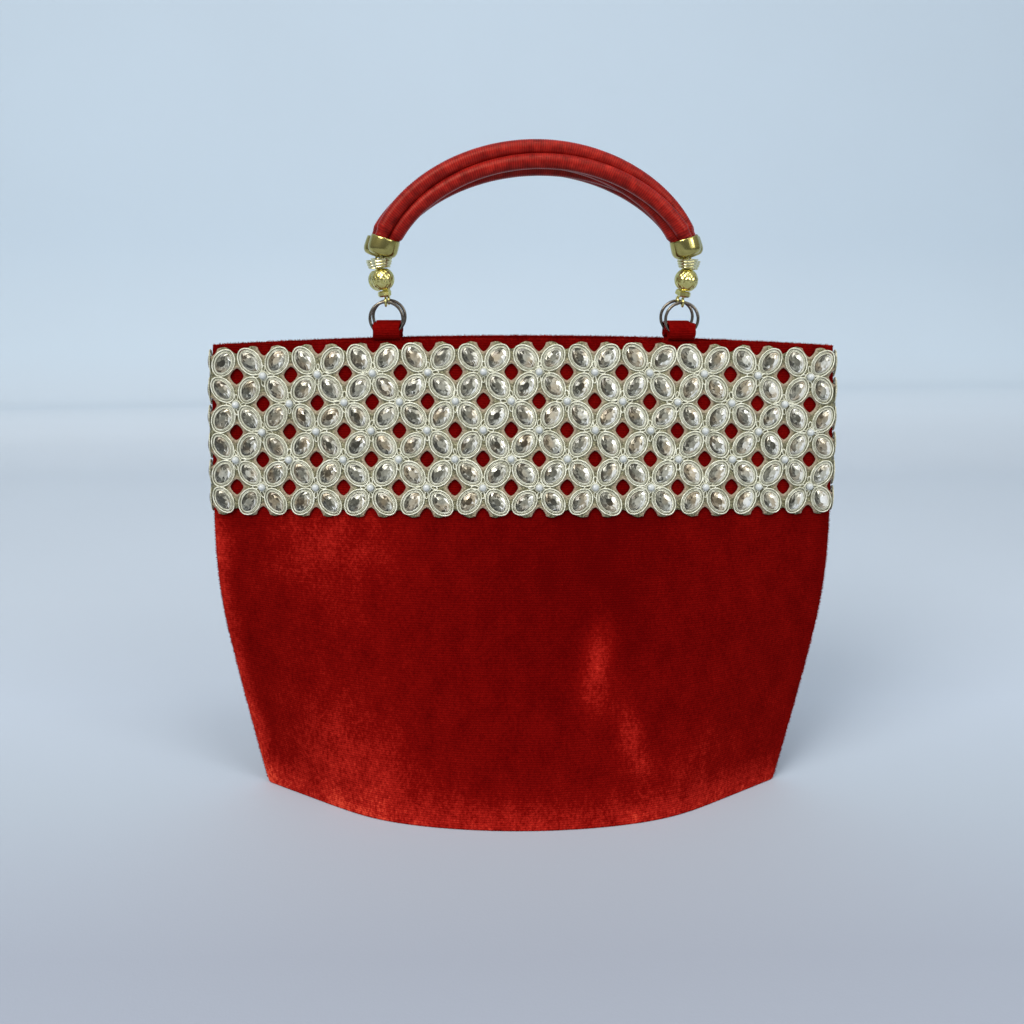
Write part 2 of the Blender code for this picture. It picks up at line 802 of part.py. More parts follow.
def eye_pin(name, end, lean, rise, handle, finish):
    """A wire eye round the jump ring, with its shank up through the beads."""
    centre = Vector((end * TAB_X, 0.0, 0.0))
    loop = torus_parts(centre, Vector((0, 1, 0)), Vector((0, 0, 1)), EYE_RADIUS, PIN_RADIUS,
                       EYE_STEPS, WIRE_SIDES)
    foot = arch_foot(lean, rise)[1]
    reach = CHAIN_LENGTH + foot - chain_point(lean, CHAIN_LENGTH)[1] + CAP_FLOOR + 2.0 * PIN_RADIUS
    path = [Vector((end * TAB_X, 0.0, EYE_RADIUS))]
    for step in range(PIN_STEPS + 1):
        length = EYE_NECK + (reach - EYE_NECK) * step / PIN_STEPS
        out, up = chain_point(lean, min(length, CHAIN_LENGTH))[:2]
        rest = max(length - CHAIN_LENGTH, 0.0)
        path.append(Vector((end * (TAB_X + out), 0.0, up + rest)))
    shank = tube_parts(path, Vector((0, 1, 0)), [PIN_RADIUS] * len(path), WIRE_SIDES)
    piece = join_parts(name, [loop, shank], finish)
    piece.parent = handle
    return piece


def bead(name, end, lean, start, profile, segments, handle, finish):
    """A turned bead with a bore, its foot at a length along the handle's end."""
    height = profile[-1][1] - profile[0][1]
    middle = start + height / 2.0
    place = chain_place(end, lean, middle) @ Matrix.Translation((0.0, 0.0, -height / 2.0))
    closed = [(BORE_RADIUS, profile[0][1])] + profile + [(BORE_RADIUS, profile[-1][1])]
    piece = turned(name, closed, segments, finish, Matrix.Identity(4))
    piece.parent = handle
    piece.matrix_local = place
    return piece


def ball_profile():
    """Outer half of the ball, cut flat at each end of its bore."""
    half = BALL_HEIGHT / 2.0
    reach = math.asin(half / BALL_RADIUS)
    run = []
    for step in range(BALL_STEPS + 1):
        turn = -reach + 2.0 * reach * step / BALL_STEPS
        run.append((BALL_RADIUS * math.cos(turn), half + BALL_RADIUS * math.sin(turn)))
    return run


def small_bead_profile():
    return [(0.75 * SMALL_BEAD_RADIUS, 0.0), (SMALL_BEAD_RADIUS, 0.3 * SMALL_BEAD_HEIGHT),
            (SMALL_BEAD_RADIUS, 0.7 * SMALL_BEAD_HEIGHT), (0.75 * SMALL_BEAD_RADIUS, SMALL_BEAD_HEIGHT)]


def ridged_profile():
    """Two bevelled discs with a shallow groove between them and a neck at each end."""
    groove = 0.93 * RIDGED_RADIUS
    return [(RIDGED_NECK_RADIUS, 0.0), (RIDGED_RADIUS, 0.22 * RIDGED_HEIGHT), (RIDGED_RADIUS, 0.42 * RIDGED_HEIGHT),
            (groove, 0.5 * RIDGED_HEIGHT), (RIDGED_RADIUS, 0.58 * RIDGED_HEIGHT),
            (RIDGED_RADIUS, 0.78 * RIDGED_HEIGHT), (RIDGED_NECK_RADIUS, RIDGED_HEIGHT)]


def arch_point(rise, half_span, foot, turn):
    """Centre line of an arch in the handle's frame, as a full half ellipse."""
    lift = rise * max(math.sin(turn), 0.0) ** ARCH_FULLNESS
    return Vector((-half_span * math.cos(turn), 0.0, foot + lift))


def arch_turn(height, rise):
    """Where along the arch its centre line is this high above its foot."""
    return (height / rise) ** (1.0 / ARCH_FULLNESS)


def cap_tilt(rise, half_span):
    """Inward tilt of a cap: along the first stretch of the arch."""
    turn = arch_turn(CAP_HEIGHT, rise)
    return math.atan2(half_span * (1.0 - math.cos(turn)), CAP_HEIGHT)


def arch_foot(lean, rise):
    """Half span and height of the arch's foot, clear of the ridged bead below it."""
    out, up = chain_point(lean, CHAIN_LENGTH)[:2]
    half_span = TAB_X + out
    return half_span, up + FIT_GAP + RIDGED_NECK_RADIUS * math.sin(cap_tilt(rise, half_span))


def end_cap(name, end, lean, rise, handle, finish):
    """A cup over the ends of the strands, its floor bored for the pin."""
    half_span, foot = arch_foot(lean, rise)
    tilt = cap_tilt(rise, half_span)
    along = Vector((-end * math.sin(tilt), 0.0, math.cos(tilt)))
    profile = [(BORE_RADIUS, 0.0), (0.72 * CAP_RADIUS, 0.0), (0.95 * CAP_RADIUS, 0.18 * CAP_HEIGHT),
               (CAP_RADIUS, CAP_SHOULDER * CAP_HEIGHT), (CAP_RADIUS, CAP_HEIGHT),
               (CAP_INNER_RADIUS, CAP_HEIGHT), (CAP_INNER_RADIUS, CAP_SHOULDER * CAP_HEIGHT),
               (0.75 * CAP_INNER_RADIUS, CAP_FLOOR), (BORE_RADIUS, CAP_FLOOR)]
    piece = turned(name, profile, CAP_SEGMENTS, finish, Matrix.Identity(4))
    piece.parent = handle
    piece.matrix_local = place_along(Vector((end * half_span, 0.0, foot)), along)
    return piece


def strand_places(rise):
    """Turns along the arch and how far the bundle has opened at each, from 0 to 1."""
    held = [arch_turn(CAP_SHOULDER * CAP_HEIGHT + FIT_GAP, rise), arch_turn(CAP_HEIGHT + STRAND_FREE, rise)]
    first = arch_turn(CAP_HEIGHT + STRAND_FREE + STRAND_FLARE, rise)
    free = [first + (math.pi - 2.0 * first) * step / STRAND_STEPS for step in range(STRAND_STEPS + 1)]
    turns = held + free + [math.pi - turn for turn in reversed(held)]
    opened = [0.0] * len(held) + [1.0] * len(free) + [0.0] * len(held)
    return list(zip(turns, opened))


def strand(name, number, lean, rise, handle, finish):
    """One wrapped strand of the bundle, turning slowly round its neighbours."""
    half_span, foot = arch_foot(lean, rise)
    path = []
    radii = []
    for turn, opened in strand_places(rise):
        centre = arch_point(rise, half_span, foot, turn)
        ahead = arch_point(rise, half_span, foot, min(turn + 0.01, math.pi))
        behind = arch_point(rise, half_span, foot, max(turn - 0.01, 0.0))
        along = (ahead - behind).normalized()
        sideways = Vector((0.0, 1.0, 0.0))
        upward = sideways.cross(along)
        radius = BUNDLE_RADIUS + opened * STRAND_SWELL / math.sin(math.pi / STRANDS)
        roll = STRAND_START_TURN + 2.0 * math.pi * number / STRANDS + STRAND_TURN * (turn / math.pi - 0.5)
        path.append(centre + radius * (math.cos(roll) * sideways + math.sin(roll) * upward))
        radii.append(STRAND_RADIUS + opened * STRAND_SWELL)
    points, faces = tube_parts(path, Vector((0, 1, 0)), radii, STRAND_SIDES)
    piece = add_object(name, points, faces, finish, math.radians(70.0))
    piece.parent = handle
    return piece


def handle_set(word, side, lean, rise, finishes):
    """A handle with everything on it, parented to an empty on its swing axis."""
    handle = bpy.data.objects.new(f"{word}_handle_axis", None)
    handle.location = (HANDLE_SHIFT, side * HANDLE_PLANE, eye_height())
    bpy.context.scene.collection.objects.link(handle)
    for number in range(STRANDS):
        strand(f"{word}_strand_{number + 1}", number, lean, rise, handle, finishes["thread"])
    for end, end_word in ((-1, "left"), (1, "right")):
        prefix = f"{word}_{end_word}"
        tab(f"{prefix}_tab", side, end, finishes["velvet"])
        jump_ring(f"{prefix}_jump_ring", side, end, finishes["ring"])
        eye_pin(f"{prefix}_eye_pin", end, lean, rise, handle, finishes["gold"])
        start = EYE_NECK
        beads = [("small_bead", small_bead_profile(), BEAD_SEGMENTS, "gold"),
                 ("ball_bead", ball_profile(), BALL_SEGMENTS, "gold"),
                 ("ridged_bead", ridged_profile(), BEAD_SEGMENTS, "pale_gold")]
        for piece, profile, segments, finish in beads:
            bead(f"{prefix}_{piece}", end, lean, start, profile, segments, handle, finishes[finish])
            start += profile[-1][1] - profile[0][1] + BEAD_GAP
        end_cap(f"{prefix}_end_cap", end, lean, rise, handle, finishes["brass"])
    return handle


def main():
    clear_scene()
    velvet = material("red_velvet", (0.42, 0.01, 0.02), 0.85)
    card = material("grey_board", (0.35, 0.33, 0.30), 0.9)
    satin = material("red_satin", (0.35, 0.02, 0.03), 0.45)
    net = material("pale_gold_thread", (0.66, 0.62, 0.42), 0.5)
    steel = material("plated_steel", (0.60, 0.60, 0.60), 0.3, 1.0)
    finishes = {
        "velvet": velvet,
        "thread": material("red_thread", (0.55, 0.05, 0.04), 0.5),
        "ring": material("dark_silver", (0.35, 0.32, 0.27), 0.35, 1.0),
        "gold": material("gold", (0.70, 0.58, 0.18), 0.3, 1.0),
        "pale_gold": material("pale_gold", (0.72, 0.68, 0.42), 0.3, 1.0),
        "brass": material("old_brass", (0.45, 0.38, 0.14), 0.3, 1.0),
    }
    base_pieces(velvet, card)
    lining_bag(satin)
    for word, side in (("front", -1), ("back", 1)):
        panel(f"{word}_panel", side, velvet)
        band(f"{word}_band", side, net)
    snap_half("snap_socket", -1, False, steel)
    snap_half("snap_stud", 1, True, steel)
    handle_set("front", -1, FRONT_LEAN, FRONT_RISE, finishes)
    handle_set("back", 1, BACK_LEAN, BACK_RISE, finishes)
    bpy.context.view_layer.update()


main()
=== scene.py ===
# %% [markdown]
# # A velvet evening handbag
# The bag stands on a boat-shaped base. A wide embroidered band of petals, stones and pearls
# runs round its mouth, and two arched handles hang on jump rings. The solids of the bag are
# loaded first and stay where they are. Each piece below is a finer surface that takes the
# place of one of those solids, in the same metres, and moves with the same body.

# %% Load the fixed frame
import math

import bmesh
import bpy
import numpy as np
from mathutils import Matrix, Vector


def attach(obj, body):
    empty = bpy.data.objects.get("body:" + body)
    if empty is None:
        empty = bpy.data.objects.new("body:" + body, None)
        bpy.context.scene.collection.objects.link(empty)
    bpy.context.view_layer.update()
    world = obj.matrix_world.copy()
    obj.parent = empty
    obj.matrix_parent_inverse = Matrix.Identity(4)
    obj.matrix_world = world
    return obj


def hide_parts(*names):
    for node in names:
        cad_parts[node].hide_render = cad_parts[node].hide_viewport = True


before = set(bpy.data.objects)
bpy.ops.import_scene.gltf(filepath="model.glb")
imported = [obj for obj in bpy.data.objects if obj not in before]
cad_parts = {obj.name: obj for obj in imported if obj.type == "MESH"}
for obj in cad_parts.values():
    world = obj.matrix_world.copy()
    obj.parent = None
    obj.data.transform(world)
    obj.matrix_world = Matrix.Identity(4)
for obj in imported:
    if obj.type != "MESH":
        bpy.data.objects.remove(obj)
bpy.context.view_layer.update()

MM = 0.001
TURN = 2.0 * math.pi

# %% [markdown]
# ## From a grid of points to a mesh
# Every piece here is a surface: a rule that gives a point for each pair of numbers. Modelling
# by hand would also do, but a rule keeps hundreds of petals alike and lets one number change
# them all. The helpers put whole arrays of points into a mesh at once, turn closed shapes
# right side out, and say which solid the piece takes the place of.

# %% Faces and texture coordinates of a grid
def grid_faces(rows, columns, close_rows=False, close_columns=False):
    """Quads between neighbours: each point, the next in its row, and the two below them."""
    row = np.arange(rows if close_rows else rows - 1)
    column = np.arange(columns if close_columns else columns - 1)
    row, column = np.meshgrid(row, column, indexing="ij")
    next_row, next_column = (row + 1) % rows, (column + 1) % columns
    corners = [row * columns + column, row * columns + next_column,
               next_row * columns + next_column, next_row * columns + column]
    return np.stack(corners, axis=-1).reshape(-1, 4)


def grid_uv(down, across):
    """Texture place of each corner of each quad, from the values on the grid's lines."""
    u = np.repeat(down[:, None], len(across), axis=1)
    v = np.repeat(across[None, :], len(down), axis=0)
    both = np.stack([u, v], axis=-1)
    corners = [both[:-1, :-1], both[:-1, 1:], both[1:, 1:], both[1:, :-1]]
    return np.stack(corners, axis=2).reshape(-1, 2)


def end_caps(count, last):
    """One face over the first ring of count points, and one over the ring that starts at last."""
    return [np.arange(count)[::-1][None], np.arange(count)[None] + last]


def repeat_faces(faces, count, size):
    """The same faces for each of count copies that have size points each."""
    shift = (np.arange(count) * size)[:, None, None]
    return (faces[None] + shift).reshape(-1, faces.shape[1])


# %% Small helpers for whole arrays
def full_turn(steps):
    """Evenly spaced angles once round, without the one that closes it."""
    return np.linspace(0.0, TURN, steps, endpoint=False)


def unit(vectors, least=1e-15):
    """Each vector over its own length."""
    return vectors / np.maximum(np.linalg.norm(vectors, axis=-1, keepdims=True), least)


def xyz(x, y, z):
    """Points from three arrays or numbers, stretched to one shape."""
    return np.stack(np.broadcast_arrays(x, y, z), axis=-1)


# %% Make one piece and hang it on its body
def signed_volume(points, groups):
    """Sum over fan triangles of first . (second x third) / 6, positive when faces point out."""
    total = 0.0
    for faces in groups:
        for step in range(1, faces.shape[1] - 1):
            first, second, third = (points[faces[:, index]] for index in (0, step, step + 1))
            total += np.einsum("ij,ij->", first, np.cross(second, third)) / 6.0
    return total


def join_parts(*parts):
    """Closed parts, each turned right side out, as one array of points and one list of faces."""
    points, groups, total = [], [], 0
    for shape, faces in parts:
        if signed_volume(shape - shape.mean(axis=0), faces) < 0.0:
            faces = [group[:, ::-1] for group in faces]
        points.append(shape)
        groups += [group + total for group in faces]
        total += len(shape)
    return np.concatenate(points), groups


def make_piece(name, points, groups, finish, body, replaced=(), uv=None, smooth=True,
               keep_turn=False, weld=0.0, values=None):
    """Mesh object from an array of points and arrays of equal-sided faces."""
    points = np.asarray(points, float).reshape(-1, 3)
    middle = points.mean(axis=0)
    if not keep_turn and signed_volume(points - middle, groups) < 0.0:
        if uv is not None:
            cuts = np.cumsum([faces.size for faces in groups])[:-1]
            parts = np.split(uv, cuts)
            parts = [part.reshape(len(faces), -1, 2)[:, ::-1].reshape(-1, 2)
                     for part, faces in zip(parts, groups)]
            uv = np.concatenate(parts)
        groups = [faces[:, ::-1] for faces in groups]
    loops = np.concatenate([faces.ravel() for faces in groups]).astype(np.int32)
    sizes = np.concatenate([np.full(len(faces), faces.shape[1]) for faces in groups])
    starts = np.concatenate([[0], np.cumsum(sizes)[:-1]]).astype(np.int32)
    mesh = bpy.data.meshes.new(name)
    mesh.vertices.add(len(points))
    mesh.vertices.foreach_set("co", points.astype(np.float32).ravel())
    mesh.loops.add(len(loops))
    mesh.loops.foreach_set("vertex_index", loops)
    mesh.polygons.add(len(sizes))
    mesh.polygons.foreach_set("loop_start", starts)
    mesh.update(calc_edges=True)
    if uv is not None:
        layer = mesh.uv_layers.new(name="surface")
        layer.uv.foreach_set("vector", uv.astype(np.float32).ravel())
    for key, value in (values or {}).items():
        domain = "POINT" if len(value) == len(points) else "FACE"
        layer = mesh.attributes.new(key, "FLOAT", domain)
        layer.data.foreach_set("value", value.astype(np.float32))
    mesh.polygons.foreach_set("use_smooth", np.full(len(sizes), smooth))
    if weld > 0.0:
        shape = bmesh.new()
        shape.from_mesh(mesh)
        bmesh.ops.remove_doubles(shape, verts=shape.verts, dist=weld)
        bmesh.ops.dissolve_degenerate(shape, edges=shape.edges, dist=weld)
        shape.to_mesh(mesh)
        shape.free()
    mesh.validate()
    mesh.materials.append(finish)
    piece = bpy.data.objects.new(name, mesh)
    bpy.context.scene.collection.objects.link(piece)
    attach(piece, body)
    if replaced:
        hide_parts(*replaced)
    print(f"{name}: {len(mesh.vertices)} points, {len(mesh.polygons)} faces")
    return piece


# %% [markdown]
# ## Material maths in plain Python
# A finish mixes colours by masks, and a mask is a sum of noises and stripes. Wiring Math nodes
# by hand hides that sum, so a small class wraps a node's output and lets +, -, * and / add the
# Math nodes. Every other node comes from one method, which sets the node up and joins it.

# %% The socket wrapper and the finish
class Socket:
    """One output in a node tree. Operators on it add Math nodes."""

    def __init__(self, nodes, output):
        self.nodes = nodes
        self.output = output

    def math(self, operation, *values):
        return self.nodes.node("ShaderNodeMath", {"operation": operation}, values)

    def __add__(self, other):
        return self.math("ADD", self, other)

    def __radd__(self, other):
        return self.math("ADD", other, self)

    def __sub__(self, other):
        return self.math("SUBTRACT", self, other)

    def __rsub__(self, other):
        return self.math("SUBTRACT", other, self)

    def __mul__(self, other):
        return self.math("MULTIPLY", self, other)

    def __rmul__(self, other):
        return self.math("MULTIPLY", other, self)

    def __truediv__(self, other):
        return self.math("DIVIDE", self, other)

    def wave(self):
        """Sine of the value, brought from -1..1 to 0..1."""
        return self.math("SINE", self) * 0.5 + 0.5

    def clamp(self):
        return self.nodes.node("ShaderNodeClamp", {}, {"Value": self})


class Nodes:
    """A node tree, and the methods that add nodes to it."""

    def __init__(self, tree):
        self.tree = tree

    def node(self, kind, settings=None, values=(), out=0):
        """Add a node: first its settings, then the values or links of its sockets."""
        item = self.tree.nodes.new(kind)
        for key, value in (settings or {}).items():
            if key == "stops":
                while len(item.color_ramp.elements) < len(value):
                    item.color_ramp.elements.new(1.0)
                for element, (place, colour) in zip(item.color_ramp.elements, value):
                    element.position = place
                    element.color = (*colour, 1.0)
            else:
                setattr(item, key, value)
        pairs = values.items() if isinstance(values, dict) else enumerate(values)
        for key, value in pairs:
            if isinstance(value, Socket):
                self.tree.links.new(value.output, item.inputs[key])
            else:
                item.inputs[key].default_value = value
        return Socket(self, item.outputs[out])

    def ramp(self, value, *stops):
        return self.node("ShaderNodeValToRGB", {"stops": stops}, [value], "Color")


class Finish(Nodes):
    """A material with one Principled shader."""

    def __init__(self, name, **constants):
        self.material = bpy.data.materials.new(name)
        self.material.use_nodes = True
        super().__init__(self.material.node_tree)
        self.shader = self.tree.nodes["Principled BSDF"]
        for key, value in constants.items():
            self.shader.inputs[key.replace("_", " ")].default_value = value

    def place(self):
        return self.node("ShaderNodeTexCoord", out="Object")

    def axis(self, name):
        """One of X, Y, Z of the place on the object, in millimetres."""
        return self.node("ShaderNodeSeparateXYZ", {}, [self.place()], name) * 1000.0

    def surface(self, name):
        """U or V of the piece's own map as X or Y."""
        layer = self.node("ShaderNodeUVMap", {"uv_map": "surface"})
        return self.node("ShaderNodeSeparateXYZ", {}, [layer], name)

    def attribute(self, name):
        return self.node("ShaderNodeAttribute", {"attribute_name": name}, out="Fac")

    def noise(self, size, detail=2.0, stretch=(1.0, 1.0, 1.0), seed=0.0):
        """Noise whose lumps are about size millimetres, drawn out by stretch."""
        scale = [1000.0 / (size * part) for part in stretch]
        moved = self.node("ShaderNodeMapping", {},
                          {"Vector": self.place(), "Scale": scale, "Location": (seed, seed, seed)})
        values = {"Vector": moved, "Scale": 1.0, "Detail": detail}
        return self.node("ShaderNodeTexNoise", {}, values, "Fac")

    def mix(self, mask, first, second):
        """Colour mix by a mask of 0 to 1; colours are tuples or sockets."""
        values = {"Factor": mask}
        for key, colour in ((6, first), (7, second)):
            values[key] = colour if isinstance(colour, Socket) else (*colour, 1.0)
        return self.node("ShaderNodeMix", {"data_type": "RGBA"}, values, 2)

    def wear(self, colour=None, roughness=None, metallic=None, height=None, depth=0.1):
        """Join what varies to the shader; depth is the bump's height in millimetres."""
        pairs = (("Base Color", colour), ("Roughness", roughness), ("Metallic", metallic))
        for key, value in pairs:
            if value is not None:
                self.tree.links.new(value.output, self.shader.inputs[key])
        if height is not None:
            values = {"Height": height, "Distance": depth * MM, "Strength": 1.0}
            bump = self.node("ShaderNodeBump", {}, values, "Normal")
            self.tree.links.new(bump.output, self.shader.inputs["Normal"])
        return self.material


# %% [markdown]
# ## Finishes
# Velvet is a woven ground with a cut pile. Where the pile leans towards you it looks dark and
# deep, where it leans away it catches the light, so brushed patches show as orange-red clouds,
# and fine ribs run across. A flat red would look like plastic. The walls carry a value that
# says how far the pile leans and so how much light it catches at each point: painted sheen,
# lighter in brushed patches and painted lighter along the foot and down the left side, where
# the light falls. Noises add the small clouds.

# %% Velvet
def make_velvet():
    finish = Finish("red_velvet", Roughness=0.9, Sheen_Weight=0.12, Sheen_Roughness=0.4,
                    Sheen_Tint=(1.0, 0.06, 0.03, 1.0), Specular_IOR_Level=0.0)
    # The value read here is painted sheen: how much light the pile catches at each point.
    lean = finish.attribute("nap")
    clouds = finish.noise(11.0, 3.0, (0.8, 1.0, 1.3))
    grain = finish.noise(1.5, 3.0, (0.8, 1.0, 1.2), 3.0)
    fibres = finish.noise(0.5, 2.0, (1.4, 1.0, 0.8), 5.0)
    ribs = (finish.axis("Z") * 6.0 + finish.noise(14.0, 1.0) * 3.0).wave()
    tone = lean + (clouds - 0.5) * (0.30 + lean * 0.6) + (grain - 0.5) * (0.26 + lean * 1.1)
    tone = (tone + (fibres - 0.5) * 0.42 + (ribs - 0.5) * 0.08).clamp()
    # The ramp runs from pile in shade to pile that catches the light: painted sheen.
    colour = finish.ramp(tone, (0.0, (0.095, 0.0009, 0.0010)), (0.35, (0.185, 0.0030, 0.0022)),
                         (0.7, (0.40, 0.014, 0.009)), (1.0, (0.74, 0.060, 0.030)))
    return finish.wear(colour, height=fibres + ribs * 0.5, depth=0.2)


velvet = make_velvet()
print("finish:", velvet.name)

# %% [markdown]
# The embroidery is worked in twisted metallic thread. The rings of thread are real tubes, and
# the twist is a slanted stripe on each tube's own map: along it by the millimetre, and once
# round it; the stripe paints shade into the grooves between the plies. Each tube is also
# painted lighter along its outer crown, a painted highlight, and darker on the side towards
# the wall, painted shade. The ground between the rings is the same thread laid in small
# loops on pink net, painted darker in the gaps between the loops.

# %% Metallic thread, net and the wrapped strands
def make_thread():
    finish = Finish("metallic_thread", Metallic=0.15, Roughness=0.33)
    # Twist stripe: painted shade in the grooves between the plies; the real relief is in the bump.
    twist = (finish.surface("X") * 9.0 + finish.surface("Y") * TURN).wave()
    # Crown: painted highlight along the outer top of each tube, painted shade on its side to the wall.
    crown = (finish.surface("Y") * TURN).wave()
    # Patchy lighter and darker tone along the thread, in lumps of about 2.4 mm.
    patchy_tone = finish.noise(2.4, 3.0)
    shade = (twist * 0.30 + crown * 0.40 + (patchy_tone - 0.5) * 0.95 + 0.12).clamp()
    colour = finish.ramp(shade, (0.0, (0.10, 0.097, 0.055)), (0.40, (0.41, 0.405, 0.28)),
                         (0.7, (0.80, 0.795, 0.63)), (1.0, (1.0, 1.0, 0.90)))
    return finish.wear(colour, height=twist, depth=0.05)


def make_ground():
    finish = Finish("loop_ground", Metallic=0.1, Roughness=0.55)
    near_hole = finish.attribute("near_hole")
    loops = finish.node("ShaderNodeTexVoronoi", {"feature": "F1"},
                        {"Vector": finish.place(), "Scale": 1000.0 / 0.85}, "Distance")
    lay = finish.noise(1.8)
    # The gaps between the loops are painted darker: painted shade between the loops of thread.
    thread = (loops * 1.2 + (lay - 0.5) * 0.9).clamp()
    gold = finish.ramp(thread, (0.0, (0.52, 0.50, 0.32)), (0.4, (0.24, 0.23, 0.12)),
                       (1.0, (0.07, 0.065, 0.03)))
    colour = finish.mix(near_hole, gold, (0.40, 0.30, 0.21))
    return finish.wear(colour, height=1.0 - loops, depth=0.4)


WRAP_PITCH = 0.95 * MM


def make_wrap():
    finish = Finish("wrapped_satin", Roughness=0.38, Sheen_Weight=0.04, Specular_IOR_Level=0.34,
                    Sheen_Tint=(1.0, 0.2, 0.12, 1.0), Specular_Tint=(1.0, 0.40, 0.28, 1.0))
    uneven = finish.noise(2.6, seed=2.0)
    # Each turn of the wrapping is painted lighter on its ridge and darker in the groove: painted shade.
    turns = (finish.surface("X") * (TURN / (WRAP_PITCH / MM)) + finish.surface("Y") * TURN
             + uneven * 5.0).wave()
    patches = finish.noise(5.0, seed=7.0)
    shade = (turns * 0.32 + (uneven - 0.5) * 0.7 + (patches - 0.5) * 0.8 + 0.3).clamp()
    colour = finish.ramp(shade, (0.0, (0.085, 0.0015, 0.002)), (0.45, (0.225, 0.006, 0.005)),
                         (1.0, (0.50, 0.026, 0.016)))
    return finish.wear(colour, height=turns, depth=0.06)


thread_finish, ground_finish, wrap_finish = make_thread(), make_ground(), make_wrap()
print("finishes:", thread_finish.name, ground_finish.name, wrap_finish.name)

# %% [markdown]
# Each stone is clear glass over silver foil. One facet flashes white, the next is dark, and a
# warm tint shows between. Real refraction would need many light paths and gives noise, so the
# glints are painted: the facets carry a value named flash, worked out when the stone is cut
# from how far each facet faces one fixed light direction, which picks the tone, a painted
# glint on facets that face it and painted shade on those that face away.

# %% Stones, pearls and metals
def make_stone():
    finish = Finish("foiled_glass", Metallic=0.35, Roughness=0.12, Coat_Weight=0.3,
                    Coat_Roughness=0.05)
    flash = finish.attribute("flash")
    cloud = finish.noise(1.1)
    warm = finish.noise(7.0, 1.0, seed=9.0)
    tone = (flash + (cloud - 0.5) * 0.35).clamp()
    # High flash values paint a white glint, low ones painted shade.
    silver = finish.ramp(tone, (0.0, (0.05, 0.048, 0.035)), (0.30, (0.25, 0.245, 0.19)),
                         (0.60, (0.58, 0.57, 0.47)), (0.74, (1.0, 1.0, 0.93)))
    champagne = finish.ramp(tone, (0.0, (0.08, 0.060, 0.035)), (0.30, (0.34, 0.28, 0.18)),
                            (0.60, (0.66, 0.57, 0.41)), (0.74, (1.0, 0.97, 0.84)))
    colour = finish.mix(((warm - 0.45) * 5.0).clamp(), silver, champagne)
    return finish.wear(colour, roughness=0.08 + cloud * 0.12)


def make_pearl():
    finish = Finish("pearl", Roughness=0.25, Coat_Weight=0.4, Coat_Roughness=0.08)
    cloud = finish.noise(1.5)
    colour = finish.mix(cloud, (0.46, 0.50, 0.50), (0.64, 0.66, 0.62))
    return finish.wear(colour, roughness=0.2 + cloud * 0.15)


def make_metal(name, dark, bright, rough, size=1.2):
    """Plated metal: darker in small clouds where the plating has dulled."""
    finish = Finish(name, Metallic=1.0, Roughness=rough)
    dull = finish.noise(size, 3.0)
    fine = finish.noise(size * 0.15, seed=4.0)
    colour = finish.mix((dull * 1.3 - 0.15).clamp(), dark, bright)
    return finish.wear(colour, roughness=rough + (1.0 - dull) * 0.12, height=fine, depth=0.010)


stone_finish, pearl_finish = make_stone(), make_pearl()
gold = make_metal("gold_plate", (0.46, 0.40, 0.09), (0.92, 0.84, 0.36), 0.14)
pale_gold = make_metal("pale_gold_plate", (0.50, 0.45, 0.20), (0.92, 0.87, 0.52), 0.14)
brass = make_metal("old_brass", (0.34, 0.29, 0.08), (0.62, 0.54, 0.19), 0.12, 3.0)
dark_bronze = make_metal("dark_bronze", (0.07, 0.06, 0.045), (0.32, 0.28, 0.22), 0.2)
steel = make_metal("plated_steel", (0.42, 0.42, 0.42), (0.66, 0.66, 0.66), 0.25)
print("finishes:", ", ".join(item.name for item in (stone_finish, pearl_finish, gold, brass)))


# %% Lining satin and base board
def make_lining():
    finish = Finish("red_satin", Roughness=0.42, Sheen_Weight=0.15)
    warp = (finish.axis("X") * 12.0).wave()
    weft = (finish.axis("Z") * 14.0).wave()
    cloud = finish.noise(18.0)
    colour = finish.mix(cloud, (0.22, 0.008, 0.012), (0.36, 0.02, 0.025))
    return finish.wear(colour, height=warp * weft, depth=0.05)


def make_board():
    finish = Finish("grey_board", Roughness=0.9)
    flecks = finish.noise(0.8, 3.0)
    colour = finish.mix(flecks, (0.24, 0.23, 0.21), (0.42, 0.40, 0.37))
    return finish.wear(colour, height=flecks, depth=0.06)


lining_finish, board_finish = make_lining(), make_board()
print("finishes:", lining_finish.name, board_finish.name)

# %% [markdown]
# ## The form of the bag
# The bag is 244 mm long at its base, a little wider at mid height, and closes to a flat mouth.
# Seen from above, the base is a boat: a shallow bow in front and straight runs to two corners.
# The wall blends from that plan into a plain curve at the mouth. These few formulas place
# every piece of cloth, net, stone and pearl, so nothing floats or sinks when a size changes.

# %% Sizes and the wall's formulas
BASE_HALF_LENGTH, BASE_HALF_DEPTH = 122.0 * MM, 47.5 * MM
BASE_BEND_X, BASE_BEND_DEPTH, BASE_CORNER_SHARPNESS = 69.0 * MM, 36.5 * MM, 14.0
WIDEST_HALF_WIDTH, WIDEST_HEIGHT, WIDENING = 139.6 * MM, 100.0 * MM, 1.15
MOUTH_HALF_WIDTH, MOUTH_HALF_DEPTH = 134.5 * MM, 9.2 * MM
MOUTH_HEIGHT, MOUTH_CROWN = 211.8 * MM, 3.5 * MM
SEAM_HALF_THICKNESS, SEAM_GAP = 2.0 * MM, 0.15 * MM
VELVET, BASE_CLOTH, WALL_FOOT = 1.2 * MM, 1.6 * MM, 1.9 * MM


def mouth_height(share):
    """Height of the mouth edge: highest in the middle, less the crown times share squared."""
    return MOUTH_HEIGHT - MOUTH_CROWN * share * share


